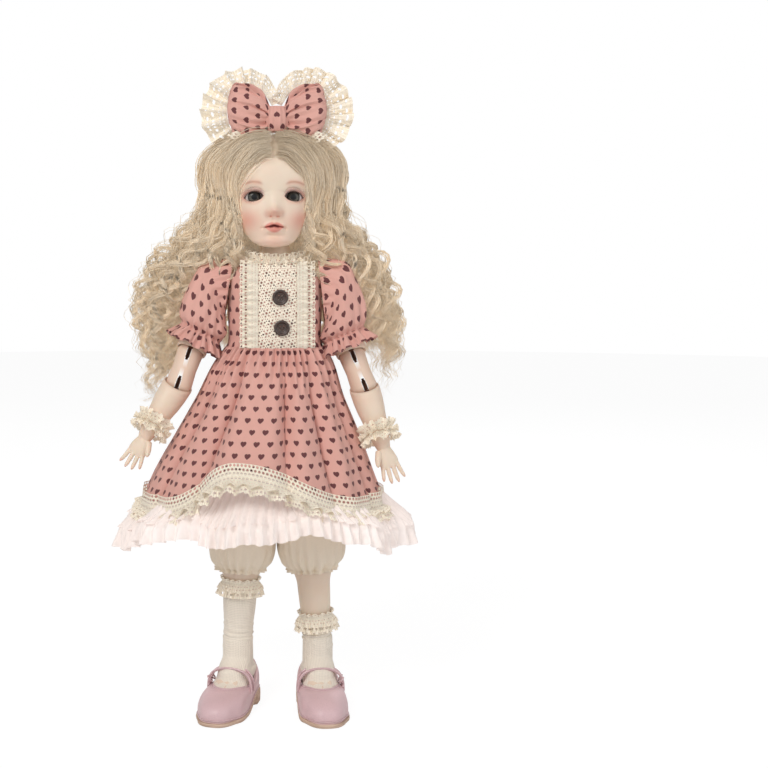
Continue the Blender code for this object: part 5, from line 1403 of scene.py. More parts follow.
class DOLL_OT_hands(bpy.types.Operator):
    """Sculpt the small hands with parted fingers and rosy tips"""

    bl_idname = "doll.hands"
    bl_label = "Hands"

    def execute(self, context):
        for side, sign in SIDES.items():
            wrist = joint_at(f"{side}_wrist_bend")
            low, high = (np.array(corner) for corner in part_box(f"{side}_hand"))
            tip = np.array([(low[0] * 0.62 + high[0] * 0.38) if sign < 0
                    else (low[0] * 0.38 + high[0] * 0.62), (low[1] + high[1]) / 2, low[2]])
            line = Line(wrist, wrist + (tip - wrist), 0.22 * sign)
            self.hand(side, sign, line, (tip - wrist))
        return {"FINISHED"}

    def hand(self, side, sign, line, reach):
        long = float(np.linalg.norm(reach)) / MM
        unit_long = long / 27.6
        pieces = [np.concatenate([ball(4.8, 6, 90, 8, 0, 24), rings_of([(-5.5, 3.6, 3.2)], 24)])]
        palm = rings_of([(-3.2, 3.3, 3.0), (-6, 3.4, 2.7), (-9.5, 4.5, 2.5), (-13, 5.2, 2.3),
                (-15.6, 4.9, 1.9), (-17.0, 3.9, 1.4)], 24)
        pieces.append(skin(palm, 14))
        fingers = ((-3.9, -6.2, 8.6, 1.12), (-1.4, -2.6, 11.2, 1.22), (1.4, 1.1, 11.6, 1.24),
                (3.9, 4.9, 9.8, 1.18))
        for number, (root, tip, length, thick) in enumerate(fingers):
            share = np.linspace(0, 1, 12)
            curl = (0.5 + 0.22 * number) * share**2
            path = np.stack([sign * (root + (tip - root) * share), -1.9 * curl - 0.35,
                    -15.4 - length * share * (1 - 0.06 * share)], -1) * MM
            size = thick * (1.0 - 0.20 * share + 0.07 * hill(share, 0.42, 0.09)
                    + 0.05 * hill(share, 0.75, 0.08)) * np.sqrt(np.clip(1.02 - share**7, 0.05, 1)) * MM
            pieces.append(tube(path, size, 12, up=(1, 0, 0)))
        share = np.linspace(0, 1, 12)
        bend_in = np.stack([-sign * (3.4 + 5.2 * share - 1.4 * share**2), -1.0 - 2.4 * share,
                -6.5 - 8.4 * share], -1) * MM
        thumb = 1.75 * (1.0 - 0.26 * share + 0.06 * hill(share, 0.5,
                0.1)) * np.sqrt(np.clip(1.02 - share**7, 0.05, 1)) * MM
        pieces.append(tube(bend_in, thumb, 12, up=(1, 0, 0)))
        sheet = Sheet()
        for piece in pieces:
            piece = piece.copy()
            piece[..., 2] *= unit_long
            sheet.grid(line.place(piece), closed=True, caps=True)
        made = sheet.build(f"{side}_hand_cast", finish("resin"), "resin")
        remesh = made.modifiers.new("melt", "REMESH")
        remesh.mode, remesh.voxel_size = "VOXEL", 0.00030
        smooth = made.modifiers.new("soften", "SMOOTH")
        smooth.factor, smooth.iterations = 0.5, 7
        settle(made)
        points = np.array([vertex.co for vertex in made.data.vertices])
        local = (points - line.origin) @ line.axes.T / MM
        local[:, 2] /= unit_long
        tips = np.zeros(len(points))
        for root, tip, length, _ in fingers:
            end = np.array([sign * tip, -2.2, -15.4 - length])
            tips = np.maximum(tips, hill(np.linalg.norm(local - end, axis=1), 0, 2.4))
        knuckles = hill(local[:, 2], -15.6, 1.5) * (local[:, 1] > 0) * 0.6 + hill(local[:, 2], -3.0,
                3.0) * 0.4
        creases = np.zeros(len(points))
        for root, tip, length, _ in fingers:
            for at in (0.40, 0.72):
                place = np.array([sign * (root + (tip - root) * at), 0.2, -15.4 - length * at])
                creases = np.maximum(creases, hill(np.linalg.norm(local - place, axis=1), 0, 1.1))
        tint = over(np.broadcast_to(tone("resin"), points.shape), tone("blush"),
                np.clip(0.52 * tips + 0.30 * knuckles + 0.24 * creases, 0, 0.7))
        repaint(made, tint)
        wear(made, f"{side}_hand", f"{side}_hand")


def repaint(made, tint):
    """Writes a tint for every vertex of a mesh that has lost its own."""
    mesh = made.data
    if "tint" in mesh.color_attributes:
        mesh.color_attributes.remove(mesh.color_attributes["tint"])
    colour = mesh.color_attributes.new("tint", "FLOAT_COLOR", "POINT")
    colour.data.foreach_set("color", np.concatenate([tint, np.ones((len(tint), 1))], 1).ravel())
    if not mesh.materials:
        mesh.materials.append(finish("resin"))
    mesh.shade_smooth()


class DOLL_OT_legs(bpy.types.Operator):
    """Model the cast legs: thighs, double knee balls with their slots, shins and ankles"""

    bl_idname = "doll.legs"
    bl_label = "Legs"

    def execute(self, context):
        for side, sign in SIDES.items():
            line = limb_line(side, "hip_swing", "upper_knee_bend")
            low = joint_at(f"{side}_upper_knee_bend")
            outer = rings_of([(-8.8, 7.56, 7.56), (-15.1, 8.6, 8.6), (-21.8, 12.5, 12.5), (-27, 12.4, 12.4),
                    (-32.2, 11.9, 11.9), (-43.2, 10.1, 10.1)])
            rim = rings_of([(-48.6, 10.1, 10.1, -18), (-49.8, 9.9, 9.9, -18), (-49.9, 9.5, 9.5, -18)])
            rings = np.concatenate([ball(9.5, 6, 112, 16), skin(outer, 26)[1:], rim,
                    cup_down(9.4, 52, 2.2, -18)])
            made = cast(line, rings, [(low, 11)]).build(f"{side}_thigh_cast", finish("resin"), "resin")
            cut_slots(made, line, [((-sign * 7.0, 0, 5.5), (7.6, 1.4, 7.6))])
            wear(made, f"{side}_thigh", f"{side}_thigh")
            first, second = low, joint_at(f"{side}_lower_knee_bend")
            knee = Line(first, second)
            rings = np.concatenate([ball(8.8, 6, 84, 16), rings_of([(-6.5, 7.5, 7.5)]),
                    ball(8.8, 96, 174, 16, -13)])
            made = cast(knee, rings, [(first, 9.5), (second, 9.5)]).build(f"{side}_knee_cast",
                    finish("resin"), "resin")
            cut_slots(made, knee, [((0, -9.0, -0.4), (0.8, 3.2, 4.2)), ((0, -9.0, -13), (0.8, 3.2, 4.2))])
            wear(made, f"{side}_knee_joint", f"{side}_knee_joint")
            self.shin(side)
        return {"FINISHED"}

    def shin(self, side):
        line = limb_line(side, "lower_knee_bend", "ankle_bend")
        top = joint_at(f"{side}_lower_knee_bend")
        inside = ball(9.4, 178, 104, 12)
        inside[..., 2] -= inside[..., 1] * np.tan(radians(18)) * np.linspace(0, 1, 12)[:, None]
        rim = rings_of([(-2.2, 9.5, 9.5, 18), (-2.4, 10.0, 10.0, 18), (-4.0, 10.1, 10.1, 15)])
        outer = rings_of([(-8.8, 10.0, 10.0, 4), (-13.5, 8.7, 8.8), (-20, 8.3, 8.6), (-27, 7.9, 8.2),
                (-34, 7.15, 7.3), (-39.2, 7.05, 7.1), (-42.5, 7.0, 7.0)])
        rings = np.concatenate([inside, rim, skin(outer, 24), ball(6.4, 70, 3, 9, -45)])
        made = cast(line, rings, [(top, 10)]).build(f"{side}_shin_cast", finish("resin"), "resin")
        wear(made, f"{side}_shin", f"{side}_shin")


class DOLL_OT_trunk(bpy.types.Operator):
    """Model the cast chest with its neck"""

    bl_idname = "doll.trunk"
    bl_label = "Chest and hips"

    def execute(self, context):
        waist = joint_at("waist_tilt")
        line = Line(waist, waist - np.array([0, 0, 0.01]))
        shell = rings_of([(4.6, 21.0, 14.3), (13.8, 21.2, 14.7), (25.8, 21.4, 15.2), (37.8, 21.4, 15.2),
                (46.5, 21.7, 14.4), (52.0, 20.8, 12.8), (56.0, 15.2, 10.7), (58.6, 10.2, 9.2),
                (62.0, 8.5, 8.4), (65.5, 7.4, 7.4), (68.0, 6.6, 6.6)])
        top = rings_of([(68.3, 6.2, 6.2), (68.4, 4.2, 4.2), (67.0, 3.8, 3.8)])
        inside = rings_of([(4.3, 20.4, 13.8), (4.2, 17.0, 12.0), (5.5, 12.9, 12.0), (10.0, 10.0, 9.6)])
        rings = np.concatenate([inside[::-1], skin(shell, 40), top])
        neck = joint_at("neck_turn")
        made = cast(line, rings, [(neck, 6)]).build("chest_cast", finish("resin"), "resin")
        return fitted(made, "chest", "chest")


def fitted(made, body, node):
    wear(made, body, node)
    return {"FINISHED"}


BODICE_ROWS = [
    (0.1840, 24.8, 17.9), (0.1868, 23.9, 17.3), (0.1920, 23.7, 17.3), (0.2000, 23.9, 17.5),
    (0.2090, 24.2, 17.5),
    (0.2170, 24.4, 17.0), (0.2225, 23.4, 15.8), (0.2268, 19.4, 13.9), (0.2296, 14.6, 12.2),
    (0.2310, 12.4, 11.0),
]


def bodice_at(angle, z, out=0.0):
    """The bodice's face at an angle round it (pi * 1.5 is the front) and a height, moved outwards."""
    heights = [row[0] for row in BODICE_ROWS]
    wide = spline(z, heights, [row[1] for row in BODICE_ROWS]) * MM + out
    deep = spline(z, heights, [row[2] for row in BODICE_ROWS]) * MM + out
    square = 0.90
    across, along = np.cos(angle), np.sin(angle)
    x = MIDDLE + wide * np.sign(across) * np.abs(across) ** square
    return np.stack([x, deep * np.sign(along) * np.abs(along) ** square, z * np.ones_like(x)], -1)


def crumple(angle, z, seed, size):
    """Soft irregular dents in cloth, in metres, from a few waves of unlike directions."""
    rng = np.random.default_rng(seed)
    total = 0
    for _ in range(9):
        round_count, rise, phase = rng.integers(3, 17), rng.uniform(-260, 260), rng.uniform(0, 6.28)
        total = total + np.sin(angle * round_count + z * rise + phase) / (1 + round_count / 9)
    return total / 3.2 * size


class DOLL_OT_bodice(bpy.types.Operator):
    """Cut the printed bodice and its lace stand collar"""

    bl_idname = "doll.bodice"
    bl_label = "Bodice and collar"

    def execute(self, context):
        angle, z = np.meshgrid(turn(240), np.linspace(0.1840, 0.2310, 90))
        gathers = 0.55 * MM * step(z, 0.1915, 0.1845) * np.sin(angle * 46 + 1.2 * np.sin(angle * 5))
        folds = crumple(angle, z, 3, 0.45 * MM) * step(z, 0.2312, 0.224)
        points = bodice_at(angle, z, 0.3 * MM)
        points = points + outward(angle)[..., :] * (gathers + folds)[..., None]
        made = Sheet().grid(points, closed=True).build("bodice_cloth", finish("print_cloth"), "print_cloth")
        wear(made, "chest", "dress_bodice")
        declare(made, "stretched", ["chest_cast"])
        self.collar()
        return {"FINISHED"}

    def collar(self):
        angle = turn(300)
        sheet = Sheet()
        low = 0.2300 + 0.0030 * np.sin(angle)
        for radius, width, waves, lift in ((12.6, 6.4, 22, 1.0), (12.9, 5.0, 25, 0.35),
                (12.9, 4.0, 23, -0.9)):
            line = np.stack([MIDDLE + (radius + 1.6) * MM * np.cos(angle), radius * MM * np.sin(angle),
                    low], -1)
            out = outward(angle) * (0.75 - abs(lift) * 0.5) + np.array([0, 0, lift])
            points, flat = ruffle(line, out, width * MM, waves, 1.25 * MM, 9, closed=True)
            sheet.grid(points, flat=flat, closed=True)
        made = sheet.build("collar_frill", finish("lace_frill"), "lace")
        wear(made, "chest", "neck_lace")
        declare(made, "gathered", ["bodice_cloth"])


def outward(angle):
    return np.stack([np.cos(angle), np.sin(angle), np.zeros_like(angle)], -1)


class DOLL_OT_bib(bpy.types.Operator):
    """Sew the lace bib to the bodice's front, with its side frills and two turned buttons"""

    bl_idname = "doll.bib"
    bl_label = "Bib and buttons"

    def execute(self, context):
        low, high = 0.1850, 0.2296
        x, z = np.meshgrid(np.linspace(-9.4, 12.0, 60) * MM, np.linspace(low, high, 90))
        points = self.on_front(x, z, 1.0 * MM + 0.10 * MM * np.sin(x * 2600) * np.sin(z * 2300))
        panel = Sheet().grid(points).build("bib_panel", finish("lace_eyelet"), "lace")
        wear(panel, "chest", "bib_lace")
        declare(panel, "laid", ["bodice_cloth"])
        sheet = Sheet()
        z = np.linspace(low, high, 120)
        for edge, sign in ((-9.2, -1), (11.8, 1)):
            for width, lift in ((8.6, 0.42), (5.4, 0.9)):
                line = self.on_front(np.full(120, (edge + sign * (0.3 if width > 6 else -0.6)) * MM), z,
                        (1.2 if width > 6 else 1.7) * MM)
                ahead = np.tile(np.array([sign, -lift * 0.32, 0.0]), (120, 1))
                ahead[:, 1] += 0.35 * np.abs(edge) / 10
                points, flat = ruffle(line, ahead, width * MM, 15 if width > 6 else 13, 0.85 * MM, 9)
                keep = self.on_front(points[..., 0] - MIDDLE, points[..., 2], 0.6 * MM)
                points[..., 1] = np.minimum(points[..., 1], keep[..., 1])
                sheet.grid(points, flat=flat)
        frills = sheet.build("bib_frills", finish("lace_frill"), "lace")
        wear(frills, "chest")
        declare(frills, "gathered", ["bodice_cloth"])
        for name, x, z in (("upper", 2.7, 0.2111), ("lower", 3.5, 0.1956)):
            self.button(name, x * MM, z)
        return {"FINISHED"}

    def on_front(self, x, z, out):
        """The bodice's front at a place across and a height, lifted off it."""
        angles = np.linspace(pi, 2 * pi, 400)
        heights = np.linspace(0.1838, 0.2310, 60)
        table = bodice_at(*np.meshgrid(angles, heights), 0.35 * MM)
        rows = np.clip((np.asarray(z) - heights[0]) / (heights[-1] - heights[0]) * 59, 0, 58.999)
        at, share = rows.astype(int), rows % 1
        y = np.zeros_like(x)
        for row in np.unique(at):
            pick = at == row
            first = np.interp(x[pick] + MIDDLE, table[row, :, 0], table[row, :, 1])
            second = np.interp(x[pick] + MIDDLE, table[row + 1, :, 0], table[row + 1, :, 1])
            y[pick] = first + (second - first) * share[pick]
        return np.stack([x + MIDDLE, y - out, z * np.ones_like(x)], -1)

    def button(self, name, x, z):
        """A turned button with a raised rim, a dished middle and four holes sewn with thread."""
        front = self.on_front(np.array([x]), np.array([z]), 0.0)[0]
        y = front[1] - 1.7 * MM
        radii = np.array([0.02, 0.9, 1.7, 2.35, 2.7, 3.1, 3.55, 3.9, 4.05, 4.0, 3.6, 2.4, 0.02]) * MM
        depth = np.array([0.45, 0.45, 0.50, 0.62, 0.95, 1.22, 1.25, 1.05, 0.65, 0.25, 0.0, 0.0, 0.0]) * MM
        angle = turn(96)
        rings = skin(np.stack([np.stack([radius * np.cos(angle) + x + MIDDLE, np.full(96, y - rise),
                radius * np.sin(angle) + z], -1) for radius, rise in zip(radii, depth)]), 46)
        made = Sheet().grid(rings, closed=True, caps=True).build(f"button_{name}_turned", finish("button"),
                "button")
        line = Line((x + MIDDLE, y, z), (x + MIDDLE, y + 0.01, z))
        holes = [((a * 0.85, b * 0.85, 0.6), (0.36, 0.36, 1.6)) for a,
                b in ((1, 1), (1, -1), (-1, 1), (-1, -1))]
        cut_slots(made, line, holes)
        wear(made, "chest", f"button_{name}")
        sheet = Sheet()
        for a in (-1, 1):
            share = np.linspace(-1, 1, 12)
            path = np.stack([np.full(12, a * 0.85), share * 0.85, 0.66 - 0.75 * share**6], -1) * MM
            sheet.grid(line.place(tube(path, 0.16 * MM, 6, up=(1, 0, 0))), closed=True)
        wear(sheet.build(f"button_{name}_thread", finish("thread"), "lace"), "chest")


SKIRT_TOP, SKIRT_TALL = 0.1855, 0.0760
SKIRT_WIDE = ((0.0, 0.06, 0.35, 0.70, 1.0), (0.385, 0.435, 0.60, 0.81, 0.985))
SWAG_AT = radians(-101)


def gore_at(angle):
    """The phase of the big folds: each half turn is one fold from crease to crease."""
    return 6.5 * (angle + 0.15 * np.sin(2 * angle + 0.6) + 0.05 * np.sin(5 * angle)) + 0.4


def skirt_at(angle, down, out=0.0, fall=0.0):
    """The skirt at an angle and a share of the way down; fall goes on below the hem, in metres."""
    wide = spline(down, *SKIRT_WIDE)
    lobe = np.abs(np.sin(gore_at(angle))) ** 0.5 - 0.76
    small = np.cos(17 * angle + 1.1) + 0.6 * np.cos(27 * angle + 2.0)
    gather = np.sin(40 * angle + 2.4 * np.sin(5 * angle)) * step(down, 0.42, 0.02)
    fold = (6.6 * lobe * step(down, -0.16, 0.46) * (1 - 0.30 * step(down, 0.7, 1.0))
            + 0.65 * small * step(down, 0.0, 0.3) + 1.5 * gather) * MM
    off = np.angle(np.exp(1j * (angle - SWAG_AT)))
    swag = np.exp(-np.abs(off / np.where(off < 0, 0.37, 0.62)) ** 2.3)
    x = MIDDLE - 6.5 * MM * down + (62.5 * MM * wide + fold + out) * np.cos(angle)
    y = (58.0 * MM * wide + fold + out) * np.sin(angle)
    z = SKIRT_TOP - SKIRT_TALL * down + 20.0 * MM * swag * down**2 - fall
    return np.stack([x, y, z], -1)


class DOLL_OT_skirt(bpy.types.Operator):
    """Gather the printed skirt, with its lace hem"""

    bl_idname = "doll.skirt"
    bl_label = "Skirt and hem lace"

    def execute(self, context):
        count, rows = 900, 120
        angle, down = np.meshgrid(turn(count), np.linspace(0, 1, rows))
        points = skirt_at(angle, down)
        points = points + outward(angle) * crumple(angle, points[..., 2], 8, 0.55 * MM)[...,
                None] * down[..., None]
        sheet = Sheet().grid(points, flat=gore_map(points, angle[0]), closed=True)
        made = sheet.build("skirt_cloth", finish("print_cloth"), "print_cloth")
        wear(made, "chest", "dress_skirt")
        declare(made, "gathered", ["bodice_cloth"])
        self.lace(count)
        return {"FINISHED"}

    def lace(self, count):
        angle, share = np.meshgrid(turn(count), np.linspace(0, 1, 14))
        band = skirt_at(angle, np.ones_like(angle), (0.5 + 0.9 * share) * MM, (-3.4 + 8.2 * share) * MM)
        made = Sheet().grid(band, flat=even_map(band, 0.420), closed=True).build("hem_net",
                finish("lace_net"), "lace")
        wear(made, "chest", "hem_lace")
        declare(made, "gathered", ["skirt_cloth"])
        fine = 1800
        angle = turn(fine)
        sheet = Sheet()
        for start, width, waves, depth, lean in ((4.4, 8.0, 50, 2.3, 0.60), (4.0, 4.6, 61, 1.7, 1.15)):
            line = skirt_at(angle, np.ones(fine), 1.35 * MM, start * MM)
            points, flat = ruffle(line, outward(angle) * lean + np.array([0, 0, -1.0]), width * MM, waves,
                    depth * MM, 9, gather=0.12, closed=True)
            sheet.grid(points, flat=flat, closed=True)
        frill = sheet.build("hem_frill", finish("lace_frill"), "lace")
        wear(frill, "chest")
        declare(frill, "gathered", ["skirt_cloth"])


def gore_map(points, angle):
    """A map that keeps the print's size in every fold, and hides what is left over in the creases."""
    rows = len(points)
    whole = np.concatenate([points, points[:, :1]], 1)
    around = np.concatenate([np.zeros((rows, 1)),
            np.cumsum(np.linalg.norm(np.diff(whole, axis=1), axis=2), axis=1)], 1)
    phase = gore_at(np.append(angle, angle[0] + 2 * pi)) / pi
    middles = np.arange(np.floor(phase[0]), np.ceil(phase[-1])) + 0.5
    at = np.floor(phase) - np.floor(phase[0])
    u = np.empty_like(around)
    for row in range(rows):
        centre = np.interp(middles, phase, around[row],
                left=around[row, 0] - (phase[0] - middles[0]) * 0.020)
        u[row] = around[row] - centre[at.astype(int)] + at * 0.0327
    v = (SKIRT_TOP - points[..., 2]) * 1.14
    return np.stack([u, np.concatenate([v, v[:, :1]], 1)], -1)


def even_map(points, round_long):
    """A map whose width is the same in every row, so that a print keeps its step, with true heights."""
    along = np.linalg.norm(np.diff(points, axis=0), axis=2).mean(1)
    v = np.concatenate([[0], np.cumsum(along)])
    u = np.linspace(0, round_long, points.shape[1] + 1)
    return np.stack(np.broadcast_arrays(u[None], v[:, None]), -1)


PETTICOAT_WIDE = ((0.0, 0.15, 0.53, 0.68, 0.78, 0.88, 1.0), (0.30, 0.39, 0.575, 0.70, 0.83, 0.97, 1.0))


class DOLL_OT_petticoat(bpy.types.Operator):
    """Pleat the sheer petticoat in two tiers"""

    bl_idname = "doll.petticoat"
    bl_label = "Petticoat"

    def execute(self, context):
        self.tier("petticoat_under", 0.0, 1.0, 1.0, 84, 1.5, "petticoat")
        self.tier("petticoat_over", 0.42, 0.90, 0.985, 92, 1.3)
        return {"FINISHED"}

    def tier(self, name, start, end, size, pleats, depth, *nodes):
        count = pleats * 14
        angle, share = np.meshgrid(turn(count), np.linspace(0, 1, 48))
        down = start + (end - start) * share
        wide = spline(down, *PETTICOAT_WIDE) * size
        big = 1 + 0.035 * down * np.cos(8 * angle + 0.5) + 0.03 * down * np.cos(11 * angle + 0.7)
        phase = angle * pleats + 0.5 * np.sin(angle * 7)
        pleat = depth * MM * (0.35 + 0.65 * share) * (np.abs((phase / pi) % 2 - 1) * 2 - 1)
        lip = 2.0 * MM * step(share, 0.90, 1.0) * (np.sin(phase) + 0.8 * np.sin(angle * 31))
        x = MIDDLE - 6.5 * MM * down + (73.5 * MM * wide * big + pleat + lip) * np.cos(angle)
        y = (63.0 * MM * wide * big + pleat + lip) * np.sin(angle)
        front = np.maximum(0.0, -np.sin(angle)) ** 2
        hem = 12.0 * front + 2.6 * np.sin(angle * 5 + 1.0) + 1.2 * np.sin(angle * 14) + 0.6 * np.sin(phase)
        z = 0.1805 - 0.0960 * down + hem * MM * share**2
        points = np.stack([x, y, z], -1)
        made = Sheet().grid(points, flat=even_map(points, 0.9), closed=True).build(name, finish("voile"),
                "petticoat_cloth")
        wear(made, "chest", *nodes)
        declare(made, "gathered", ["bodice_cloth"])


class DOLL_OT_sleeves(bpy.types.Operator):
    """Set the puffed sleeves, with their gathered cuffs, and the lace at the wrists"""

    bl_idname = "doll.sleeves"
    bl_label = "Sleeves and wrist lace"

    def execute(self, context):
        for side, sign in SIDES.items():
            self.sleeve(side, sign)
            self.wrist(side)
        return {"FINISHED"}

    def sleeve(self, side, sign):
        line = limb_line(side, "shoulder_swing", "upper_elbow_bend")
        angle = turn(180)
        lean = {"right": 22.5, "left": 17.0}[side]
        rows = []
        shoulder_low = (8.6 * cos(radians(lean)) - 1.2) / sin(radians(lean))
        table = (
            (None, None, 8.8, 9.2),
            (3.2, 0.12, 11.4, 11.0),
            (-5.0, 0.28, 13.6, 12.9),
            (-15.0, 0.46, 14.3, 13.6),
            (-22.5, 0.60, 13.9, 13.2),
            (-27.5, 0.70, 12.4, 12.0),
            (-30.4, 0.78, 9.9, 9.8),
            (-31.6, 0.82, 9.6, 9.5),
        )
        for far_z, near_share, out, deep in table:
            if far_z is None:
                top = np.array([-sign * 2.6 * cos(radians(lean)), 0, 9.6])
                near, far = np.array([-sign * 8.8, 0, -shoulder_low]), top
            else:
                near_z = -shoulder_low + (-34.8 + shoulder_low) * near_share / 0.9
                near = np.array([-sign * (9.4 + 4.4 * hill(near_share, 0.55, 0.30)), 0, near_z])
                far = np.array([sign * out, 0, far_z])
            middle, reach = (near + far) / 2, (far - near) / 2
            power = 0.72 if far_z is None else 0.9
            along = np.sign(np.cos(angle)) * np.abs(np.cos(angle)) ** power
            across = np.sign(np.sin(angle)) * np.abs(np.sin(angle)) ** power
            rows.append(middle + reach * along[:, None]
                    + np.stack([0 * angle, deep * across, 0 * angle], -1))
        rings = skin(np.array(rows), 60)
        share = np.linspace(0, 1, 60)[:, None]
        centre = rings.mean(1, keepdims=True)
        away = unit(rings - centre)
        gathers = 0.85 * (step(share, 0.25, 0.0) + step(share, 0.45, 0.95)) * np.sin(angle * 19
                + 2 * np.sin(angle * 4))[None]
        soft = crumple(angle[None], share * 0.03, 21 if sign > 0 else 33, 1.25) * np.sin(pi * share)
        rings = rings + away * (gathers + soft)[..., None]
        points = line.place(rings * MM)
        sheet = Sheet().grid(points, closed=True)
        end = points[-1]
        down = -line.axes[2]
        middle = end.mean(0)
        out = unit(end - middle)
        frill, flat = ruffle(end, out * 0.62 + down, 8.6 * MM, 13, 1.7 * MM, 12, closed=True)
        sheet.grid(frill, flat=flat, closed=True)
        made = sheet.build(f"{side}_sleeve_cloth", finish("print_cloth"), "print_cloth")
        start, stop = joint_at(f"{side}_shoulder_raise"), line.place(np.array([0, 0, -20 * MM]))
        bend(made, f"{side}_shoulder_elastic", f"{side}_upper_arm", start, stop, f"{side}_sleeve")
        declare(made, "gathered", ["bodice_cloth"])

    def wrist(self, side):
        line = limb_line(side, "lower_elbow_bend", "wrist_bend")
        long = line.long / MM
        angle = turn(260)
        sheet = Sheet()
        for at, radius, width, lift, waves in ((-long + 3.6, 6.7, 5.4, 0.9, 11),
                (-long + 2.8, 6.8, 5.6, -0.9, 12), (-long + 3.2, 6.9, 3.8, -0.1, 14)):
            base = line.place(np.stack([radius * np.cos(angle), radius * np.sin(angle), np.full(260, at)],
                    -1) * MM)
            out = unit(base - base.mean(0)) * 0.62 + line.axes[2] * lift
            points, flat = ruffle(base, out, width * MM, waves, 1.5 * MM, 8, closed=True)
            sheet.grid(points, flat=flat, closed=True)
        made = sheet.build(f"{side}_wrist_frill", finish("lace_frill"), "lace")
        wear(made, f"{side}_forearm", f"{side}_wrist_lace")
        declare(made, "gathered", [f"{side}_forearm_cast"])


class DOLL_OT_bloomers(bpy.types.Operator):
    """Gather the satin bloomers: a seat on the hips and two puffed legs"""

    bl_idname = "doll.bloomers"
    bl_label = "Bloomers"

    def execute(self, context):
        hips = (joint_at("right_hip_swing") + joint_at("left_hip_swing")) / 2
        angle = turn(220)
        line = Line(hips, hips - np.array([0, 0, 0.01]))
        seat = rings_of([(20.0, 25.9, 19.0), (18.0, 26.2, 19.4), (8.0, 27.6, 20.6), (-6.0, 27.0, 20.0),
                (-15.0, 21.5, 17.6), (-20.0, 15.0, 13.0), (-22.0, 6.0, 6.0)], 220)
        rings = skin(seat, 60)
        share = np.linspace(0, 1, 60)[:, None]
        away = unit(rings * np.array([1, 1, 0.0]) + 1e-9)
        pleats = (0.5 * MM * step(share, 0.35, 0.0) * np.sin(angle * 40)) + crumple(angle[None],
                share * 0.03, 50, 0.5 * MM)
        made = Sheet().grid(line.place(rings + away * pleats[..., None]), closed=True).build("bloomer_seat",
                finish("satin"), "bloomer_satin")
        wear(made, "pelvis", "bloomers")
        declare(made, "stretched", ["pelvis"])
        for side in SIDES:
            self.leg(side)
        return {"FINISHED"}

    def leg(self, side):
        line = limb_line(side, "hip_swing", "upper_knee_bend")
        angle = turn(260)
        rows = rings_of([(8.5, 8.0, 8.0), (2.0, 12.0, 12.0), (-8.0, 14.0, 14.0), (-20, 14.6, 15.0),
                (-36, 15.8, 16.4), (-50, 16.9, 17.4), (-60, 17.3, 17.6), (-67, 15.6, 15.8),
                (-71.0, 12.2, 12.3)], 260)
        rings = skin(rows, 84)
        share = np.linspace(0, 1, 84)[:, None]
        away = unit(rings * np.array([1, 1, 0.0]) + 1e-9)
        seed = 61 if side == "left" else 67
        folds = 1.05 * MM * step(share, 0.55, 0.97) * np.sin(angle * 19
                + 2.2 * np.sin(angle * 3)) + crumple(angle[None], share * 0.05, seed, 0.75 * MM)
        points = line.place(rings + away * folds[..., None])
        sheet = Sheet().grid(points, closed=True)
        end = points[-1]
        frill, flat = ruffle(end, unit(end - end.mean(0)) * 0.3 - line.axes[2], 1.8 * MM, 18, 0.5 * MM, 5,
                closed=True)
        sheet.grid(frill, flat=flat, closed=True)
        made = sheet.build(f"{side}_bloomer_leg", finish("satin"), "bloomer_satin")
        bend(made, f"{side}_thigh", f"{side}_knee_joint", joint_at(f"{side}_upper_knee_bend")
                + (0, 0, 0.006), joint_at(f"{side}_upper_knee_bend") - (0, 0, 0.010))
        declare(made, "gathered", ["bloomer_seat"])


SOCK_TOPS = {"right": 0.0640, "left": 0.0462}
TOE_OUT = {"right": -18.0, "left": 6.0}
BED_LOW, BED_RISE = 1.8, 5.5
FOOT_ROWS = np.array([(0.0, 0.50, 0.55), (0.07, 0.74, 0.95), (0.24, 0.80, 1.12), (0.42, 0.84, 1.02),
        (0.62, 0.98, 0.80), (0.82, 0.98, 0.60), (0.94, 0.76, 0.46), (1.0, 0.46, 0.32)])


def bed(share):
    """The footbed's height in millimetres, from heel 0 to toe 1."""
    fall = np.clip((share - 0.26) / 0.34, 0, 1)
    return BED_LOW + BED_RISE * (1 + np.cos(pi * fall)) / 2


class Foot(Line):
    """A foot's frame: x to its own left, y to the back, and z up from the floor, in millimetres."""

    def __init__(self, side):
        ankle = joint_at(f"{side}_ankle_bend")
        super().__init__((ankle[0], ankle[1], 0.0), (ankle[0], ankle[1], -0.01), radians(TOE_OUT[side]))
        self.side, self.sign = side, SIDES[side]

    def at(self, x, y, z):
        return self.place(np.stack(np.broadcast_arrays(x, y, z), -1) * MM)


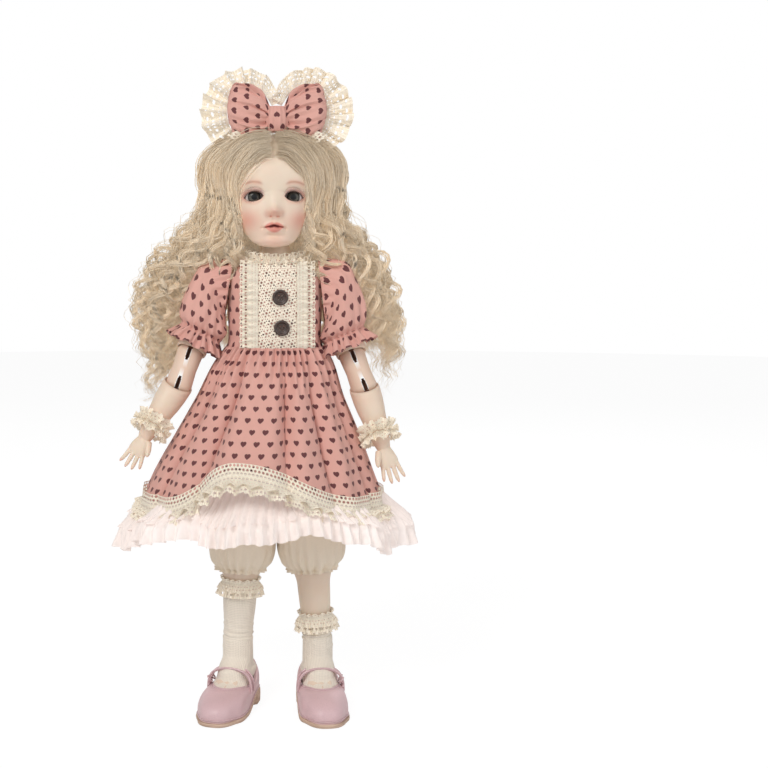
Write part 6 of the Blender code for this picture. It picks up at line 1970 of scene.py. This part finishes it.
class DOLL_OT_socks(bpy.types.Operator):
    """Knit the socks, with turned lace tops"""

    bl_idname = "doll.socks"
    bl_label = "Socks"

    def execute(self, context):
        for side in SIDES:
            self.leg(side)
            self.foot(side)
        return {"FINISHED"}

    def leg(self, side):
        line = limb_line(side, "lower_knee_bend", "ankle_bend")
        top = (line.origin[2] - SOCK_TOPS[side]) / MM
        angle = turn(160)
        heights = np.linspace(-top, -line.long / MM - 4.0, 70)
        radius = spline(-heights, [0, 9, 13.5, 20, 27, 34, 39, 45, 52],
                [9.9, 9.9, 9.0, 8.75, 8.4, 7.75, 7.6, 7.7, 7.9])
        slack = 0.22 * np.exp(-(((heights + line.long / MM - 3.5) / 7.0) ** 2))
        rings = np.stack([np.stack([size * np.cos(angle), size * 1.02 * np.sin(angle), np.full(160, high)],
                -1) for size, high in zip(radius, heights)])
        away = unit(rings * np.array([1, 1, 0.0]))
        rolls = slack[:, None] * (np.sin(heights * 2.6)[:, None]
                + 0.8 * np.sin(heights[:, None] * 1.7 + angle * 2)
                + 0.6 * np.sin(heights[:, None] * 3.4 - angle))
        dents = crumple(angle[None], heights[:, None] * MM, 71 if side == "left" else 77, 0.16)
        points = line.place((rings + away * (rolls + dents)[..., None]) * MM)
        made = Sheet().grid(points, closed=True).build(f"{side}_sock_leg", finish("knit"), "sock_knit")
        ankle = joint_at(f"{side}_ankle_bend")
        bend(made, f"{side}_shin", f"{side}_ankle_hook", ankle + (0, 0, 0.006), ankle - (0, 0, 0.004),
                f"{side}_sock")
        declare(made, "stretched", [f"{side}_shin_cast"])
        sheet = Sheet()
        first = points[1]
        out = unit(first - first.mean(0))
        tall = 7.4 if side == "right" else 8.2
        for lift, width, waves, deep in ((-1.0, tall, 13, 1.5), (-0.7, tall * 0.62, 15, 1.3),
                (0.9, 2.4, 17, 0.6)):
            frill, flat = ruffle(first + out * 0.25 * MM, out * (0.32 if lift < 0 else 0.5)
                    + line.axes[2] * lift, width * MM, waves, deep * MM, 9, closed=True)
            sheet.grid(frill, flat=flat, closed=True)
        lace = sheet.build(f"{side}_sock_frill", finish("lace_frill"), "lace")
        wear(lace, f"{side}_shin")
        declare(lace, "gathered", [f"{side}_sock_leg"])

    def foot(self, side):
        foot = Foot(side)
        share = np.linspace(0, 1, 34)
        wide = spline(share, FOOT_ROWS[:, 0], FOOT_ROWS[:, 1]) * 9.6 + 0.9
        tall = spline(share, FOOT_ROWS[:, 0], FOOT_ROWS[:, 2]) * 12.5 + 0.9
        y = 10.9 - 45.3 * share
        low = bed((14.1 - y) / 54.0) + 1.6
        angle = turn(40)
        rings = []
        for number in range(34):
            across, up = np.cos(angle), np.sin(angle)
            rings.append(foot.at(wide[number] * across, np.full(40, y[number]), low[number]
                    + tall[number] * (0.5 + 0.5 * up)))
        ankle = joint_at(f"{side}_ankle_bend")
        high = ankle[2] / MM
        column = [foot.at(size * np.cos(angle), back + size * 1.06 * np.sin(angle), np.full(40, level))
                for level, size, back in ((high + 3.0, 7.75, 0.0), (high - 2, 7.8, 0.0),
                (high - 7, 7.9, 0.2), (high - 12, 7.9, 0.4), (10, 7.0, 0.4))]
        instep = [foot.at(size * np.cos(angle), back + size * np.sin(angle), np.full(40, level)) for level,
                size, back in ((high - 5.5, 6.0, -1.2), (high - 9.0, 7.4, -3.6), (high - 13.0, 8.4, -6.0),
                (11, 8.0, -8.0))]
        sheet = Sheet().grid(rings, closed=True, caps=True).grid(column, closed=True,
                caps=True).grid(instep, closed=True, caps=True)
        made = sheet.build(f"{side}_sock_foot", finish("knit"), "sock_knit")
        remesh = made.modifiers.new("melt", "REMESH")
        remesh.mode, remesh.voxel_size = "VOXEL", 0.00055
        smooth = made.modifiers.new("soften", "SMOOTH")
        smooth.factor, smooth.iterations = 0.6, 16
        settle(made)
        remap(made, foot)
        made.data.materials.clear()
        made.data.materials.append(finish("knit"))
        made.data.shade_smooth()
        wear(made, f"{side}_foot")


def remap(made, line):
    """Lays the cloth map on a mesh that lost its own: along the foot, and round it."""
    mesh = made.data
    points = np.zeros(len(mesh.vertices) * 3)
    mesh.vertices.foreach_get("co", points)
    local = (points.reshape(-1, 3) - line.origin) @ line.axes.T
    corners = np.zeros(len(mesh.loops), int)
    mesh.loops.foreach_get("vertex_index", corners)
    flat = np.stack([local[:, 0], local[:, 1] + local[:, 2]], -1)[corners]
    layer = mesh.uv_layers.get("cloth") or mesh.uv_layers.new(name="cloth")
    layer.data.foreach_set("uv", flat.ravel())


SOLE_ROWS = np.array([(0.0, 0.50), (0.03, 0.70), (0.10, 0.85), (0.27, 0.88), (0.42, 0.90), (0.56, 0.94),
        (0.72, 1.0), (0.86, 0.965), (0.94, 0.80), (0.98, 0.56), (1.0, 0.30)])


class DOLL_OT_shoes(bpy.types.Operator):
    """Last the leather shoes, with pinked edges, glossy straps, soles and heels"""

    bl_idname = "doll.shoes"
    bl_label = "Shoes"

    def execute(self, context):
        for side in SIDES:
            foot = Foot(side)
            self.upper(foot)
            self.sole(foot)
            self.strap(foot)
        return {"FINISHED"}

    def outline(self, angle, grow=0.0):
        """The sole's outline in millimetres, 0 at the foot's left side, pi / 2 at the heel."""
        middle, half = 14.1 - 27.0, 27.0
        along = np.sin(angle)
        y = middle + half * np.sign(along) * np.abs(along) ** 0.92
        share = (14.1 - y) / 54.0
        reach = 12.6 * np.interp(share, SOLE_ROWS[:, 0], SOLE_ROWS[:, 1])
        around = np.abs(np.cos(angle)) ** 0.72
        wide = np.where(share < 0.12, 10.9 * around ** 0.9,
                np.where(share > 0.82, 12.3 * around ** 1.02, reach * around**0.35))
        smooth = np.cos(angle)
        x = np.sign(smooth) * np.minimum(wide, 12.6)
        kernel = np.hanning(15)
        kernel = kernel / kernel.sum()
        x = np.convolve(np.concatenate([x[-7:], x, x[:7]]), kernel, "valid")
        out = unit(np.stack([x / 12.0, (y - middle) / half], -1))
        return x + out[:, 0] * grow, y + out[:, 1] * grow, share

    def upper(self, foot):
        count = 240
        angle = turn(count)
        x, y, share = self.outline(angle, -0.35)
        throat_x = 9.8 * np.sign(np.cos(angle)) * np.abs(np.cos(angle)) ** 0.85
        throat_y = -5.4 + 16.8 * np.sin(angle)
        front, back = step(-np.sin(angle), 0.2, 1.0), step(np.sin(angle), 0.1, 1.0)
        throat_z = 12.4 + 1.2 * front + 8.1 * back
        low = bed(share) + 0.2
        rows = []
        for turned in np.linspace(0, pi / 2, 30):
            share_out = 1 - np.cos(turned) ** (0.85 + 0.45 * front)
            rise = np.sin(turned) ** (1.0 - 0.22 * front)
            bulge = (0.9 + 0.4 * front) * np.sin(turned * 2) * (1 - 0.6 * back)
            px = x + (throat_x - x) * share_out
            py = y + (throat_y - y) * share_out
            length = np.hypot(px, py + 3) + 1e-6
            rows.append(np.stack([px + bulge * px / length, py + bulge * (py + 3) / length * 0.7, low
                    + (throat_z - low) * rise], -1))
        outer = np.array(rows)
        edge = outer[-1].copy()
        inner = outer[::-3] * np.array([0.90, 0.955, 1.0]) + np.array([0, 0.1, -0.4])
        pinked = 0.30 * np.abs(np.sin(angle * 46))
        edge[:, 2] += 0.35 + pinked
        rings = np.concatenate([outer, edge[None], (edge * np.array([0.95, 0.98, 1.0]) - [0, 0, 0.1])[None],
                inner])
        creases = 0.22 * hill(rings[..., 1], -24.0, 1.2) + 0.18 * hill(rings[..., 1], -21.0, 0.9)
        rings[..., 2] -= creases * (rings[..., 2] > 8) * hill(rings[..., 0], 0, 8)
        made = Sheet().grid(foot.place(rings * MM), closed=True).build(f"{foot.side}_shoe_leather",
                finish("leather"), "shoe_leather")
        wear(made, f"{foot.side}_foot", f"{foot.side}_shoe_upper")
        welt = outer[1] + np.stack([0.25 * np.cos(angle), 0.25 * np.sin(angle), 0 * angle], -1)
        closed = np.concatenate([welt, welt[:1]])
        trim = Sheet().grid(foot.place(tube(closed * MM, 0.30 * MM, 6)), closed=True)
        collar = outer[-2] + np.array([0, 0, 0.0])
        fine = np.concatenate([collar, collar[:1]])
        fine[:, :2] *= 1.012
        trim.grid(foot.place(tube(fine * MM, 0.26 * MM, 6)), closed=True)
        wear(trim.build(f"{foot.side}_shoe_piping", finish("strap"), "shoe_leather"), f"{foot.side}_foot")

    def sole(self, foot):
        count = 240
        angle = turn(count)
        x, y, share = self.outline(angle, 0.25)
        soft = step(share, 0.300, 0.262)
        rings = []
        for inset, level in ((-0.2, 1.0), (0.2, 0.9), (0.25, 0.5), (0.1, 0.08), (-0.35, 0.0)):
            top = bed(share) + 0.15
            low = (1 - soft) * (bed(share) - 1.8)
            rings.append(np.stack([x * (1 + inset / 12), -12.9 + (y + 12.9) * (1 + inset / 27), low
                    + (top - low) * level], -1))
        made = Sheet().grid(foot.place(np.array(rings) * MM), closed=True,
                caps=True).build(f"{foot.side}_shoe_tread", finish("sole"), "sole_leather")
        wear(made, f"{foot.side}_foot", f"{foot.side}_shoe_sole")

    def strap(self, foot):
        """A narrow strap with two glossy edges, and a small bow at its outer end."""
        sheet, gloss = Sheet(), Sheet()
        share = np.linspace(0, 1, 60)
        angle = pi * share
        x, z = 11.3 * np.sign(np.cos(angle)) * np.abs(np.cos(angle)) ** 0.8, 9.6 + 11.2 * np.sin(
                angle) ** 0.62
        for fore, high in ((-2.0, 0.5), (2.0, 0.5)):
            line = np.stack([x, -10.7 + fore + 0 * share, z], -1)
            line = line + unit(np.stack([x, 0 * x, z - 9.6], -1)) * high
            gloss.grid(foot.place(tube(line * MM, 0.50 * MM, 10, up=(0, 1, 0))), closed=True)
        across = np.linspace(-2.0, 2.0, 9)
        band = np.stack([np.stack([x * 1.01, -10.7 + fore + 0 * x, z + 0.25 * np.cos(fore * 0.7)], -1)
                for fore in across])
        sheet.grid(foot.place(band * MM))
        made = sheet.build(f"{foot.side}_strap_band", finish("leather"), "shoe_leather", thick=0.0005)
        wear(made, f"{foot.side}_foot")
        out = foot.sign
        for turned in (-1, 1):
            ang = turn(40)
            loop = np.stack([out * (10.6 + 0.9 * np.sin(ang)), -10.7 + turned * (2.2 - 2.1 * np.cos(ang)),
                    15.2 + 1.5 * np.sin(ang + 0.5 * turned)], -1)
            gloss.grid(foot.place(tube(np.concatenate([loop, loop[:1]]) * MM, 0.42 * MM, 8)), closed=True)
            tail = np.stack([out * (11.4 + 0.2 * share[:12]), -10.7
                    + turned * (0.2 + 5.0 * share[:12] / share[11] * 0.5),
                    15.0 - 3.4 * share[:12] / share[11]], -1)
            gloss.grid(foot.place(tube(tail * MM, 0.36 * MM, 8)), closed=True)
        wear(gloss.build(f"{foot.side}_strap_gloss", finish("strap"), "shoe_leather"), f"{foot.side}_foot")


BARE_FINISHES = (
    ("elastic", "cord"),
    ("hook", "steel"),
)


class DOLL_OT_frame_finish(bpy.types.Operator):
    """Give every solid that still shows its own material"""

    bl_idname = "doll.frame_finish"
    bl_label = "Finish the bare solids"

    def execute(self, context):
        for name, node in FRAME["nodes"].items():
            kinds = [kind for part, kind in BARE_FINISHES if part in name]
            made = finish(kinds[0] if kinds else "bare_resin")
            node.data.materials.clear()
            node.data.materials.append(made)
        return {"FINISHED"}


PHOTO_SIDE, PHOTO_FOCAL = 768, 1306
PHOTO_MIDDLE, PHOTO_EYE_LINE = 275, 270
CAMERA_AWAY, CAMERA_HIGH = 0.68, 0.225
SENSOR = 36.0
ROOM_LIGHT = 0.34
FLOOR_REACH, FLOOR_DROP = 3.0, 0.0002
AIM_HEIGHT = 0.17
LAMPS = (
    ("key", (-0.55, -0.95, 0.95), 0.60, 8.6, (1.0, 0.985, 0.965)),
    ("fill", (0.85, -0.75, 0.55), 0.80, 2.9, (0.98, 0.99, 1.0)),
    ("rim", (0.25, 0.95, 0.95), 0.70, 3.4, (1.0, 1.0, 1.0)),
)


class DOLL_OT_stage(bpy.types.Operator):
    """Lay the white floor, hang the soft lamps and set the camera"""

    bl_idname = "doll.stage"
    bl_label = "Floor, lamps and camera"

    def execute(self, context):
        scene = context.scene
        angle, share = np.meshgrid(turn(96), np.linspace(0, 1, 24))
        reach = FLOOR_REACH * share**1.5
        floor = np.stack([reach * np.cos(angle), reach * np.sin(angle), np.full_like(reach, -FLOOR_DROP)],
                -1)
        Sheet().grid(floor, closed=True).build("floor", finish("floor"), None)
        world = bpy.data.worlds.new("studio")
        scene.world = world
        world.use_nodes = True
        tree = world.node_tree
        rays = tree.nodes.new("ShaderNodeLightPath")
        camera_ray, glossy_ray, clear_ray = (
            Wire(tree, rays.outputs[f"Is {kind} Ray"]) for kind in ("Camera", "Glossy", "Transmission")
        )
        seen = camera_ray + glossy_ray + clear_ray
        strength = seen.least(1.0) * (1.0 - ROOM_LIGHT) + ROOM_LIGHT
        back = tree.nodes["Background"]
        back.inputs["Color"].default_value = (1.0, 1.0, 1.0, 1.0)
        tree.links.new(strength.socket, back.inputs["Strength"])
        for name, place, size, power, colour in LAMPS:
            lamp = bpy.data.lights.new(name, "AREA")
            lamp.shape, lamp.size, lamp.energy, lamp.color = "DISK", size, power, colour
            made = bpy.data.objects.new(name, lamp)
            made.location = place
            aim = Vector((MIDDLE, 0, AIM_HEIGHT)) - Vector(place)
            made.rotation_euler = aim.to_track_quat("-Z", "Y").to_euler()
            scene.collection.objects.link(made)
        camera = bpy.data.cameras.new("camera")
        camera.sensor_width, camera.lens = SENSOR, SENSOR * PHOTO_FOCAL / PHOTO_SIDE
        camera.shift_x = (PHOTO_SIDE / 2 - PHOTO_MIDDLE) / PHOTO_SIDE
        camera.shift_y = -(PHOTO_SIDE / 2 - PHOTO_EYE_LINE) / PHOTO_SIDE
        made = bpy.data.objects.new("camera", camera)
        made.location, made.rotation_euler = (MIDDLE, -CAMERA_AWAY, CAMERA_HIGH), (pi / 2, 0, 0)
        scene.collection.objects.link(made)
        scene.camera = made
        scene.view_settings.view_transform = "Standard"
        return {"FINISHED"}


PIECES = (
    DOLL_OT_frame_finish, DOLL_OT_trunk, DOLL_OT_arms, DOLL_OT_hands, DOLL_OT_legs, DOLL_OT_head,
    DOLL_OT_eyes, DOLL_OT_wig, DOLL_OT_bow,
    DOLL_OT_bodice, DOLL_OT_bib, DOLL_OT_skirt, DOLL_OT_petticoat, DOLL_OT_sleeves, DOLL_OT_bloomers,
    DOLL_OT_socks, DOLL_OT_shoes, DOLL_OT_stage,
)


class DOLL_PT_panel(bpy.types.Panel):
    """Lists the doll's settings and pieces"""

    bl_idname = "DOLL_PT_panel"
    bl_label = "Dressed doll"
    bl_space_type = "VIEW_3D"
    bl_region_type = "UI"
    bl_category = "Doll"

    def draw(self, context):
        for name in DollLooks.__annotations__:
            self.layout.prop(context.scene.doll_looks, name)
        for piece in PIECES:
            self.layout.operator(piece.bl_idname)


CLASSES = (DollLooks, *PIECES, DOLL_PT_panel)


def register():
    for kind in CLASSES:
        bpy.utils.register_class(kind)
    bpy.types.Scene.doll_looks = PointerProperty(type=DollLooks)


def unregister():
    del bpy.types.Scene.doll_looks
    for kind in reversed(CLASSES):
        bpy.utils.unregister_class(kind)


def main():
    register()
    bpy.ops.doll.frame_finish()
    bpy.ops.doll.trunk()
    bpy.ops.doll.arms()
    bpy.ops.doll.hands()
    bpy.ops.doll.legs()
    bpy.ops.doll.head()
    bpy.ops.doll.eyes()
    bpy.ops.doll.wig()
    bpy.ops.doll.bow()
    bpy.ops.doll.bodice()
    bpy.ops.doll.bib()
    bpy.ops.doll.skirt()
    bpy.ops.doll.petticoat()
    bpy.ops.doll.sleeves()
    bpy.ops.doll.bloomers()
    bpy.ops.doll.socks()
    bpy.ops.doll.shoes()
    bpy.ops.doll.stage()


if __name__ == "__main__":
    main()
